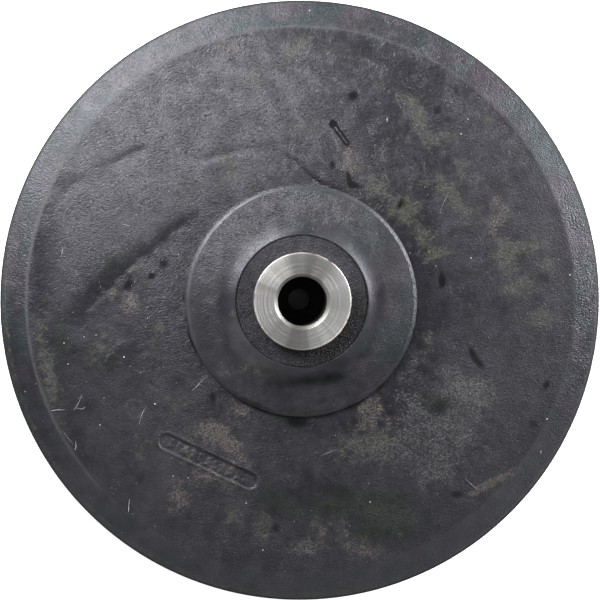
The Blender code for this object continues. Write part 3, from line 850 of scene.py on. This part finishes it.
def painted_light_mask(zone):
    """Painted light on the rubber: a pale tint, thickest at the upper left where the key light falls, with
    painted highlights and painted shade.
    """
    # Lighter where the key light falls at the upper left, plus the patches painted lighter and darker
    painted_light = 0.24 + 1.8 * smoothstep(0.2, 0.95, zone.sunny) * (1 - 0.4 * zone.bevel) + zone.patches
    # Lighter towards the bottom, and painted shade in the dip round the boss's foot
    painted_light += 0.2 * smoothstep(0.25, 0.75, -(0.5 * zone.u + 0.85 * zone.v)) - 0.2 * zone.moat
    # Painted highlights on the bevel's upper left and on a line near the rim's right edge, and painted shade
    # just inside the bevel at the upper left
    painted_light += 0.6 * zone.bright_rim + 0.6 * zone.rim_line - 0.6 * zone.near_bevel
    # The bevel painted lighter at the bottom and darker at its left and right sides
    painted_light += 0.9 * zone.bevel * smoothstep(0.3, -0.8, zone.v - 0.3 * zone.u)
    painted_light -= 0.8 * zone.bevel * smoothstep(0.7, 0.95, zone.bevel_side)
    # A painted highlight along the bevel's inner edge, strongest at the upper left
    painted_light += 1.5 * zone.edge_line * (0.3 + smoothstep(-0.2, 0.6, zone.up_left))
    # The boss's upper side painted lighter, with a painted highlight on its edge where the light falls
    painted_light += 1.15 * zone.upper_boss + 0.15 * zone.inside_foot + 1.2 * zone.bright_edge
    # A painted highlight on the flare at the upper left, and painted shade on its left and right sides
    painted_light += 1.6 * zone.flare * smoothstep(0.75, 1, -0.707 * (zone.way_x + zone.way_y))
    painted_light -= 0.15 * zone.flare + 0.7 * zone.off_light
    return np.clip(painted_light, 0, 2.2)


def polish_mask(zone):
    """Where the rubber is smoother than elsewhere, or rougher where it is below zero."""
    polish = 0.7 * zone.moat * zone.right + 0.5 * zone.near_bevel
    polish = polish - 0.6 * zone.bright_rim - 0.8 * zone.patches
    polish += 0.6 * zone.low_boss + 0.7 * zone.bright_edge + 0.3 * zone.flare + 0.3 * zone.off_light
    polish -= 0.5 * smoothstep(0.3, 0.8, zone.u) * (1 - zone.bevel) + 1.2 * zone.rim_line
    polish += 0.9 * zone.bevel * smoothstep(0.75, 0.95, zone.bevel_side)
    polish -= 1.5 * zone.edge_line * smoothstep(-0.1, 0.6, zone.up_left)
    polish += 0.9 * zone.boss_edge * smoothstep(0.4, 0.9, zone.boss_u)
    polish += 0.6 * zone.flare * smoothstep(0.8, 0.98, 0.707 * (zone.way_y - zone.way_x))
    return np.clip(polish - 5 * zone.dark_rim, -5, 1.3)


def grain_mask(zone):
    """How strong the grain is: strongest at the upper left, and faint on the edges and the flare."""
    strength = 0.92 + 0.5 * smoothstep(0.1, 0.7, zone.v - 0.5 * zone.u)
    strength -= 0.2 * smoothstep(0.0, 0.5, -zone.v - 0.2 * zone.u) + 0.1 * zone.low_boss
    strength += 0.8 * zone.upper_boss * smoothstep(0.5, -0.4, zone.boss_u)
    strength -= 0.2 * smoothstep(0.3, 0.7, -zone.u) * smoothstep(0.5, 0.1, np.abs(zone.v))
    strength *= 1 + 0.7 * np.clip(zone.patches, -1, 0)
    strength *= (1 - 0.4 * zone.low_boss) * (1 - 0.3 * zone.near_bevel) * (1 - 0.2 * zone.bright_rim)
    strength *= (1 - 0.35 * zone.moat * zone.right) * (1 - 0.5 * zone.edge_line) * (1 - 0.6 * zone.flare)
    strength *= (1 - 0.8 * zone.bright_edge) * (1 - 0.25 * zone.bevel) * (1 - 0.5 * zone.smooth_left)
    return np.clip(strength, 0.05, 2.0)


def add_stains(obj):
    """Stores the masks that the rubber's material reads."""
    points = vertex_array(obj)
    x, y = points[:, 0], points[:, 1]
    radius = np.hypot(x, y)
    zone = find_zones(x, y)
    rim_dust = bell(radius - DISC_RADIUS + 1.7 * MM, 0.8 * MM) * (zone.u + zone.v < -0.6)
    # Pale dust along the bevel's inner edge and on the bevel, laid on the upper left where the light falls,
    # so partly a painted highlight
    edge_dust_and_highlight = 0.7 * zone.edge_line * smoothstep(0.2, 1.0, zone.up_left) + 0.12 * zone.bright_rim
    masks = {
        "olive": np.maximum(stain_mask(OLIVE_STAINS, x, y, 61), 0.6 * rim_dust),
        "tan": stain_mask(TAN_STAINS, x, y, 71),
        "pale": np.maximum(stain_mask(PALE_STAINS, x, y, 81), edge_dust_and_highlight),
        "moss": stain_mask(MOSS_STAINS, x, y, 51),
        "soot_and_shade": soot_and_shade_mask(x, y, radius),
        "tinted": tinted_mask(zone),
        "painted_light": painted_light_mask(zone),
        "polish": polish_mask(zone),
    }
    shown = smoothstep(DISC_FRONT + 1 * MM, DISC_FRONT + 3 * MM, points[:, 2])
    for name, mask in masks.items():
        set_attribute(obj, name, shown * mask)
    set_attribute(obj, "grain", grain_mask(zone))


# The pieces

def refine_plate_area(obj):
    """Cuts the grid finer around the recessed plate."""
    cage = bmesh.new()
    cage.from_mesh(obj.data)
    cage.verts.ensure_lookup_table()
    points = vertex_array(obj)
    distance, _, _ = plate_distance(points[:, 0], points[:, 1])
    chosen = (distance < 1.2 * MM) & (points[:, 2] > DISC_BACK - 0.01 * MM)
    edges = [e for e in cage.edges if chosen[e.verts[0].index] and chosen[e.verts[1].index]]
    bmesh.ops.subdivide_edges(cage, edges=edges, cuts=2, use_grid_fill=True)
    cage.to_mesh(obj.data)
    cage.free()


def make_disc(material):
    """The disc: a dense ring whose back carries the sink marks, creases and the recessed plate."""
    inner = COLLAR_RADIUS + FIT_GAP
    under_boss = BOSS_RADIUS - 1 * MM
    rim = DISC_RADIUS - PARTING_LINE_HEIGHT
    back, front = rim - RIM_BACK_ROUNDING, rim - RIM_FRONT_ROUNDING
    bevel_foot = DISC_BACK - BEVEL_DROP
    profile = line((inner, DISC_BACK), (under_boss, DISC_BACK), 4)
    profile += line((under_boss, DISC_BACK), (BEVEL_START, DISC_BACK), 104)
    profile += line((BEVEL_START, DISC_BACK), (back, bevel_foot), 11)
    profile += corner((back, bevel_foot - RIM_BACK_ROUNDING), RIM_BACK_ROUNDING, 77, 0, 4)
    parting = (DISC_BACK + DISC_FRONT) / 2 - 0.4 * MM
    half_line = ((rim, 0.35 * MM), (rim, 0.14 * MM), (DISC_RADIUS, 0.05 * MM))
    profile += [(across, parting + off) for across, off in half_line]
    profile += [(across, parting - off) for across, off in reversed(half_line)]
    profile += corner((front, DISC_FRONT + RIM_FRONT_ROUNDING), RIM_FRONT_ROUNDING, 0, -90, 4)
    profile += line((front, DISC_FRONT), (inner, DISC_FRONT), 26)[1:]
    profile += [(inner, DISC_FRONT)]
    disc = turned("back_disc", profile, 540)
    refine_plate_area(disc)
    points = vertex_array(disc)
    x, y, z = points.T
    top = (z > bevel_foot - 0.05 * MM) & (np.hypot(x, y) > BOSS_RADIUS - 2 * MM)
    distance, along, across = plate_distance(x, y)
    step = 1e-6
    slope_x = (plate_distance(x + step, y)[0] - distance) / step
    slope_y = (plate_distance(x, y + step)[0] - distance) / step
    snap = np.where(top & (np.abs(distance) < 0.12 * MM), distance, 0)
    points[:, 0] -= snap * slope_x
    points[:, 1] -= snap * slope_y
    distance = np.where(snap != 0, 0, distance)
    rise = back_relief(points[:, 0], points[:, 1]) + plate_relief(along, across, distance)
    lip = 0.10 * MM * bell(distance - 0.35 * MM, 0.35 * MM)
    points[:, 2] += np.where(top, rise + lip, 0)
    store_vertices(disc, points)
    disc.data.set_sharp_from_angle(angle=math.radians(50))
    add_stains(disc)
    return finish_piece(disc, material, ["back_shroud"])


def boss_relief(x, y, z):
    """Waves and faint dents of the boss's face, which fade out at the lip and the foot."""
    radius = np.hypot(x, y)
    face = smoothstep(DISC_BACK, DISC_BACK + BOSS_STEP, z)
    face = face * smoothstep(LIP_TOP - 0.05 * MM, LIP_TOP - 0.7 * MM, z)
    waves = 0.07 * MM * fractal_noise(x, y, 12 * MM, 17, 3)
    waves -= 0.10 * MM * np.clip(value_noise(x, y, 7 * MM, 19), 0, 1)
    return x, y, z + face * waves * (radius > COLLAR_RADIUS + 0.8 * MM)


def make_boss(material):
    """The boss: a thin step, a shallow cone and a flare that curves up to a rounded lip at the collar."""
    inner = COLLAR_RADIUS + HUB_GAP
    lip_centre = (COLLAR_RADIUS + 0.35 * MM, LIP_TOP - LIP_ROUNDING - 0.04 * MM)
    profile = [(inner, LIP_TOP - 0.15 * MM), (inner + 0.04 * MM, LIP_TOP - 0.09 * MM)]
    profile += corner(lip_centre, LIP_ROUNDING, 115, 90 - FLARE_TURN, 5)
    foot_radius = lip_centre[0] + (LIP_ROUNDING + FLARE_RADIUS) * math.sin(math.radians(FLARE_TURN))
    flare_foot = DISC_BACK + BOSS_STEP + BOSS_CONE_RISE
    profile += corner((foot_radius, flare_foot + FLARE_RADIUS), FLARE_RADIUS, 270 - FLARE_TURN, 270, 26)[1:]
    soft, crisp, run, tilt = 0.9 * MM, 0.4 * MM, 0.75 * MM, math.radians(BOSS_EDGE_TILT)
    top = DISC_BACK + BOSS_STEP
    edge = BOSS_RADIUS - crisp * (1 - math.sin(tilt)) - run - soft * math.sin(tilt)
    profile += line(profile[-1], (edge, top), 26)[1:]
    profile += corner((edge, top - soft), soft, 90, 90 - BOSS_EDGE_TILT, 4)
    low = top - soft * (1 - math.cos(tilt)) - run * math.tan(tilt) - crisp * math.cos(tilt)
    profile += corner((BOSS_RADIUS - crisp, low), crisp, 90 - BOSS_EDGE_TILT, 0, 5)
    profile += [(BOSS_RADIUS, DISC_BACK - 0.3 * MM), (inner, DISC_BACK - 0.3 * MM)]
    profile += line((inner, DISC_BACK - 0.3 * MM), (inner, LIP_TOP - 0.2 * MM), 5)[1:]
    boss = turned("boss_flare", profile, 480, boss_relief)
    add_stains(boss)
    return finish_piece(boss, material, ["boss"])


def make_collar(material):
    """The end of the rough core, with real pits."""
    inner, outer = BUSH_RADIUS + HUB_GAP, COLLAR_RADIUS

    def relief(x, y, z):
        top = z > COLLAR_TOP - 0.2 * MM
        pits = 0.10 * MM * fractal_noise(x, y, 0.9 * MM, 53, 3) - 0.10 * MM
        return x, y, z + np.where(top, pits, 0)

    profile = line((inner, COLLAR_TOP), (outer - 0.15 * MM, COLLAR_TOP), 26)
    profile += [(outer - 0.15 * MM, COLLAR_TOP), (outer, COLLAR_TOP - 0.25 * MM)]
    profile += line((outer, COLLAR_TOP - 1 * MM), (outer, DISC_FRONT), 5)
    profile += [(outer, DISC_FRONT), (inner, DISC_FRONT)]
    profile += line((inner, DISC_FRONT), (inner, COLLAR_TOP), 6)[1:]
    collar = turned("core_ring", profile, 480, relief)
    return finish_piece(collar, material, ["hub_collar"])


def make_bush(material):
    """The turned bush, with the tool's grooves in its ends."""
    rng = np.random.default_rng(7)
    mouth = BORE_RADIUS + 1.0 * MM

    def face(start, end, height, outward, count):
        """A turned end face from one radius to another, with grooves that go inwards from it."""
        points = []
        for k in range(count + 1):
            radius = start + (end - start) * k / count
            groove = (0.006 if k % 2 else 0.022) + rng.uniform(0, 0.012)
            points.append((radius, height - outward * groove * MM))
        return points

    profile = face(mouth + 0.05 * MM, BUSH_RADIUS - 0.35 * MM, BUSH_TOP, 1, 28)
    profile += corner((BUSH_RADIUS - 0.25 * MM, BUSH_TOP - 0.25 * MM), 0.25 * MM, 90, 0, 6)
    profile += line((BUSH_RADIUS, BUSH_TOP - 0.5 * MM), (BUSH_RADIUS, BUSH_FRONT + 0.5 * MM), 12)
    profile += [(BUSH_RADIUS, BUSH_FRONT + 0.5 * MM), (BUSH_RADIUS - 0.5 * MM, BUSH_FRONT)]
    profile += face(BUSH_RADIUS - 0.6 * MM, SCREW_HOLE_RADIUS + 0.6 * MM, BUSH_FRONT, -1, 30)
    profile += [(SCREW_HOLE_RADIUS + 0.5 * MM, BUSH_FRONT), (SCREW_HOLE_RADIUS, BUSH_FRONT + 0.5 * MM)]
    profile += [(SCREW_HOLE_RADIUS, BORE_BOTTOM - 0.3 * MM), (SCREW_HOLE_RADIUS + 0.3 * MM, BORE_BOTTOM)]
    profile += line((SCREW_HOLE_RADIUS + 0.4 * MM, BORE_BOTTOM), (BORE_RADIUS, BORE_BOTTOM), 5)[1:]
    profile += line((BORE_RADIUS, BORE_BOTTOM), (BORE_RADIUS, BUSH_TOP - 1.0 * MM), 24)
    profile += [(BORE_RADIUS, BUSH_TOP - 1.0 * MM), (BORE_RADIUS + 0.12 * MM, BUSH_TOP - 0.78 * MM)]
    profile += line((BORE_RADIUS + 0.2 * MM, BUSH_TOP - 0.7 * MM), (mouth, BUSH_TOP - 0.02 * MM), 4)[1:]
    bush = turned("turned_bush", profile, 384, sharp_angle=25)
    return finish_piece(bush, material, ["hub_bush"])


def make_nose(material):
    """The rounded nose in the eye, round the front end of the bush."""
    inner = BUSH_RADIUS + HUB_GAP
    rounding = (NOSE_TIP_RADIUS - inner) * NOSE_ROUNDING_SHARE
    fairing = (NOSE_BASE_RADIUS - NOSE_TIP_RADIUS, (DISC_FRONT - BUSH_FRONT) * NOSE_FAIRING_SHARE)

    def relief(x, y, z):
        radius = np.hypot(x, y)
        waves = 0.05 * MM * fractal_noise(x, y, 6 * MM, 29, 3)
        grow = 1 + np.where(radius > inner + 0.5 * MM, waves / radius, 0)
        return x * grow, y * grow, z

    profile = line((inner, DISC_FRONT), (NOSE_BASE_RADIUS, DISC_FRONT), 4)
    profile += arc((NOSE_BASE_RADIUS, DISC_FRONT - fairing[1]), fairing, 90, 180, 24)
    profile += corner((NOSE_TIP_RADIUS - rounding, BUSH_FRONT + rounding), rounding, 0, -90, 8)
    profile += [(inner, BUSH_FRONT)]
    profile += line((inner, BUSH_FRONT), (inner, DISC_FRONT), 6)[1:]
    nose = turned("nose", profile, 240, relief)
    return finish_piece(nose, material, ["eye_nose"])


def vane_side(inner_radius, half_thickness, side, nose_steps=8, body_steps=72):
    """One side of a vane in plan, from its nose to the rim; side is 1 outwards and -1 inwards."""
    slant = math.hypot(1, VANE_SLOPE)
    sine, cosine = VANE_SLOPE / slant, 1 / slant
    nose_run = VANE_NOSE_LENGTH * sine
    nose_end = inner_radius + nose_run
    tail = half_thickness * VANE_TAIL_SHARE
    rim_end = math.sqrt(VANE_OUTER_RADIUS**2 - (tail * sine) ** 2) - side * tail * cosine
    turn = np.pi / 2 * np.arange(nose_steps) / nose_steps
    along = np.arange(body_steps + 1) / body_steps
    radius = np.concatenate([nose_end - nose_run * np.cos(turn), nose_end + (rim_end - nose_end) * along])
    share = np.concatenate([np.sin(turn), 1 - (1 - VANE_TAIL_SHARE) * along**2])
    angle = vane_sweep(radius)
    out = radius + side * share * half_thickness * cosine
    around = -side * share * half_thickness * sine
    return out * np.cos(angle) - around * np.sin(angle), out * np.sin(angle) + around * np.cos(angle)


def round_off(rounding, depth):
    """How far a quarter round of this radius falls back at this depth into it."""
    depth = min(max(depth, 0), rounding)
    return rounding - math.sqrt(rounding**2 - depth**2)


def make_vane(index, material):
    """A swept vane with draft, a rounded free edge and a fillet where it meets the disc."""
    edge, fillet, sunk = VANE_EDGE_ROUNDING, VANE_FILLET, 0.4 * MM
    levels = list(edge * (1 - np.cos(np.radians(np.linspace(0, 90, 6)))))
    levels += list(np.linspace(edge, DISC_FRONT - fillet, 8)[1:])
    levels += list(DISC_FRONT - fillet * np.cos(np.radians(np.linspace(0, 90, 8)))[1:])
    levels.append(DISC_FRONT + sunk)
    angle = VANE_START_ANGLE + 2 * math.pi * index / VANE_COUNT
    rings = []
    for z in levels:
        share = min(z / DISC_FRONT, 1)
        cut, added = round_off(edge, edge - z), round_off(fillet, z - (DISC_FRONT - fillet))
        thickness = VANE_EDGE_THICKNESS + (VANE_ROOT_THICKNESS - VANE_EDGE_THICKNESS) * share
        thickness += 2 * (0.8 * added - cut)
        inner_radius = VANE_EDGE_INNER_RADIUS + (VANE_ROOT_INNER_RADIUS - VANE_EDGE_INNER_RADIUS) * share
        inner_radius += 0.5 * (cut - added)
        sides = []
        for side in (1, -1):
            x, y = vane_side(inner_radius, thickness / 2, side)
            ripple = 0.08 * MM * value_noise(x + index * 0.3, y + z, 9 * MM, 83 + side)
            push = 0.8 * side * ripple / np.hypot(x, y)
            sides.append((x + push * x, y + push * y))
        (ox, oy), (ix, iy) = sides
        x = np.concatenate([ox, ix[:0:-1]])
        y = np.concatenate([oy, iy[:0:-1]])
        beyond = np.maximum(np.hypot(x, y) / (DISC_RADIUS - 0.3 * MM), 1)
        x, y = x / beyond, y / beyond
        rings.append(np.stack([x * math.cos(angle) - y * math.sin(angle),
                               x * math.sin(angle) + y * math.cos(angle), np.full(x.shape, z)], -1))
    count, half = len(rings[0]), len(sides[0][0])
    faces = tube_faces(len(rings), count)
    for base, flip in ((0, 1), ((len(rings) - 1) * count, -1)):
        top = base + count
        strip = [(base, base + 1, top - 1)]
        strip += [(base + i, base + i + 1, top - i - 1, top - i) for i in range(1, half - 1)]
        faces += [face[::flip] for face in strip]
    vane = add_mesh(f"swept_vane_{index + 1}", np.concatenate(rings).tolist(), faces)
    cage = bmesh.new()
    cage.from_mesh(vane.data)
    bmesh.ops.recalc_face_normals(cage, faces=cage.faces)
    cage.to_mesh(vane.data)
    cage.free()
    vane.data.set_sharp_from_angle(angle=math.radians(45))
    return finish_piece(vane, material, [f"vane_{index + 1}"])


# Dust, lint and scratches

BRIGHT_SPECKS = (
    (84, 337), (68, 364), (124, 357), (97, 160), (174, 135.5), (268, 389), (246, 503), (287, 459),
    (122, 533), (570, 275), (471, 258), (410, 253), (563, 336), (547, 419), (541, 452), (370, 502),
    (394, 55), (387, 119), (461, 134), (451, 102), (468, 119), (310, 10), (25, 392), (36, 384), (96, 335),
    (64, 343), (130, 366), (155, 404), (100, 425), (224, 541), (263, 550), (142, 565), (104, 398),
    (173, 476), (188, 478), (112, 488),
)
# Hairs: the path in pixels and the radius in millimetres
HAIRS = (
    (((51, 411), (57, 410), (65, 410)), 0.14), (((128.5, 512), (128.8, 505), (129.6, 499)), 0.16),
    (((75, 450), (76, 446), (75.5, 441)), 0.10), (((61, 257), (62, 252), (63, 248)), 0.10),
    (((122, 224), (126, 225), (130, 226)), 0.07), (((440, 213), (444, 202), (447, 196)), 0.035),
    (((387, 116), (387.5, 119), (387, 122)), 0.08), (((541, 455), (542, 450)), 0.10),
    (((321, 456), (330, 452), (338, 449)), 0.05), (((192, 391), (200, 383), (207, 376)), 0.07),
    (((465, 478), (471, 484), (478, 490)), 0.06), (((74, 410), (79, 402), (82, 394)), 0.09),
    (((76, 408), (82, 409), (85, 407)), 0.07), (((78, 399), (83, 397)), 0.08),
    (((62, 430), (68, 438), (75, 446)), 0.03), (((372, 393), (379, 386), (385, 380)), 0.04),
    (((568, 325), (574, 327), (580, 333)), 0.05), (((146, 407), (142, 414), (139, 425)), 0.07),
    (((390, 184), (384, 172)), 0.03),
)
SPECK_SEED = 5
SPECK_COUNT = 300


def surface_height(x, y):
    """The height of the drive side's rubber at these points, close enough to lay dust on."""
    radius = np.hypot(x, y)
    down = np.clip((radius - BEVEL_START) / (BEVEL_WIDTH - 0.7 * MM), 0, 1)
    return DISC_BACK - down * BEVEL_DROP + back_relief(x, y)


def make_dust(material):
    """Specks of dust: the bright ones of the photograph, and many small ones scattered by chance."""
    rng = np.random.default_rng(SPECK_SEED)
    spots = [(at(px, py).x, at(px, py).y, rng.uniform(0.10, 0.19)) for px, py in BRIGHT_SPECKS]
    while len(spots) < SPECK_COUNT:
        angle = rng.uniform(0, 2 * math.pi)
        radius = DISC_RADIUS * math.sqrt(rng.uniform(0.17, 0.96))
        x, y = radius * math.cos(angle), radius * math.sin(angle)
        lean = 0.35 - 0.30 * (x - y) / (DISC_RADIUS * 1.4) - 0.25 * y / DISC_RADIUS
        if rng.uniform() < lean:
            spots.append((x, y, rng.uniform(0.03, 0.09)))
    dust = bmesh.new()
    x, y, _ = np.array(spots).T
    for (px, py, size), height in zip(spots, surface_height(x, y)):
        grown = bmesh.ops.create_icosphere(dust, subdivisions=1, radius=size * MM)["verts"]
        turn = rng.uniform(0, math.pi)
        long = rng.uniform(0.8, 1.6)
        for vertex in grown:
            u, v, w = vertex.co * rng.uniform(0.8, 1.2)
            u *= long
            vertex.co = (px + u * math.cos(turn) - v * math.sin(turn),
                         py + u * math.sin(turn) + v * math.cos(turn), height + 0.5 * w + 0.3 * size * MM)
    mesh = bpy.data.meshes.new("dust_specks")
    dust.to_mesh(mesh)
    dust.free()
    return finish_piece(add_object("dust_specks", mesh), material)


def make_lint(material):
    """Hairs and pale scratches, as thin tubes that lie on the rubber."""
    vertices, faces = [], []
    sides = 6
    for pixels, thickness in HAIRS:
        path = smooth_path(pixels, 5)
        heights = surface_height(path[:, 0], path[:, 1]) + 0.6 * thickness * MM
        runs = np.gradient(path, axis=0)
        runs /= np.linalg.norm(runs, axis=1)[:, None]
        base, count = len(vertices), len(path)
        for k in range(count):
            taper = 0.35 + 0.65 * math.sin(math.pi * (k + 0.5) / count)
            for s in range(sides):
                turn = 2 * math.pi * s / sides
                across = math.cos(turn) * thickness * MM * taper
                vertices.append((path[k, 0] - runs[k, 1] * across, path[k, 1] + runs[k, 0] * across,
                                 heights[k] + math.sin(turn) * thickness * MM * taper))
        faces += tube_faces(count, sides, base)
        faces.append(tuple(base + s for s in reversed(range(sides))))
        faces.append(tuple(base + (count - 1) * sides + s for s in range(sides)))
    return finish_piece(add_mesh("lint_fibres", vertices, faces), material)


# The studio

# Softboxes: the distance from the disc's middle in metres, the tilt from the axis and the angle round it
# in degrees, the size in metres and the power in watts
SOFTBOXES = (
    ("key_softbox", 0.23, 56, 130, 0.13, 1.0),
    ("side_softbox", 0.32, 72, 22, 0.16, 1.55),
    ("low_fill", 0.60, 60, 275, 0.25, 0.25),
)
SKY_COLOUR = (0.98, 0.98, 1.0)
FLOOR_COLOUR = (0.93, 0.93, 0.93)
FLOOR_SIZE = 6
FLOOR_GAP = 0.2 * MM


def add_softbox(name, away, tilt, turn, size, power):
    """A square light that looks at the disc's middle."""
    tilt, turn = math.radians(tilt), math.radians(turn)
    across = away * math.sin(tilt)
    data = bpy.data.lights.new(name, "AREA")
    data.shape = "RECTANGLE"
    data.size = data.size_y = size
    data.energy = power
    light = add_object(name, data)
    light.location = (across * math.cos(turn), across * math.sin(turn), DISC_BACK + away * math.cos(tilt))
    light.rotation_euler = turn_towards(light.location, Vector((0, 0, DISC_BACK))).to_euler()


def make_sky():
    """A dome that is brighter low down, away from the Y direction, with a pale card on either side."""
    world = bpy.data.worlds.new("studio")
    world.use_nodes = True
    sky = Nodes(world.node_tree, "Generated")
    way = sky.parts(sky.place)
    dome = sky.remap(way["Z"], 0.1, 1.0, 0.45, 0.08, "LINEAR")
    cards = sky.remap(sky.math("ABSOLUTE", way["X"]), 0.25, 0.75, 0.0, 0.54, "LINEAR")
    shade = sky.remap(sky.math("ABSOLUTE", way["Y"]), 0.15, 0.6, 1.0, 0.3, "LINEAR")
    background = world.node_tree.nodes["Background"]
    sky.put(background.inputs["Color"], SKY_COLOUR)
    sky.put(background.inputs["Strength"], sky.plus(sky.times(dome, shade), cards))
    return world


def make_floor():
    """A pale floor that glows outside the disc's outline, so that it renders white."""
    bpy.ops.mesh.primitive_plane_add(size=FLOOR_SIZE, location=(0, 0, -FLOOR_GAP))
    floor = bpy.context.object
    floor.name = "floor"
    shader = Shader("pale_floor")
    away = shader.vector("LENGTH", {0: shader.place})
    glow = shader.remap(away, 0.7 * DISC_RADIUS, DISC_RADIUS, 0.0, 0.80)
    floor.data.materials.append(shader.finish(Base_Color=FLOOR_COLOUR, Roughness=0.6,
                                              Emission_Color=(1.0, 1.0, 1.0), Emission_Strength=glow))


def make_studio():
    scene = bpy.context.scene
    scene.view_settings.view_transform = "Standard"
    scene.world = make_sky()
    make_floor()
    for softbox in SOFTBOXES:
        add_softbox(*softbox)
    camera_data = bpy.data.cameras.new("camera")
    camera_data.sensor_width = SENSOR
    camera_data.lens = SENSOR / 2 / HALF_TAN
    camera = add_object("camera", camera_data)
    camera.location = CAMERA_PLACE
    camera.rotation_euler = CAMERA_TURN.to_euler()
    scene.camera = camera


def main():
    drive_rubber = stained_rubber()
    front_rubber = plain_rubber()
    make_disc(drive_rubber)
    make_boss(drive_rubber)
    make_collar(core_material())
    make_bush(steel_material())
    make_nose(front_rubber)
    for index in range(VANE_COUNT):
        make_vane(index, front_rubber)
    make_dust(speckled_material("dust", DUST_DARK, DUST_LIGHT, 1 * MM))
    make_lint(speckled_material("lint", LINT_DARK, LINT_LIGHT, 2 * MM))
    make_studio()


main()
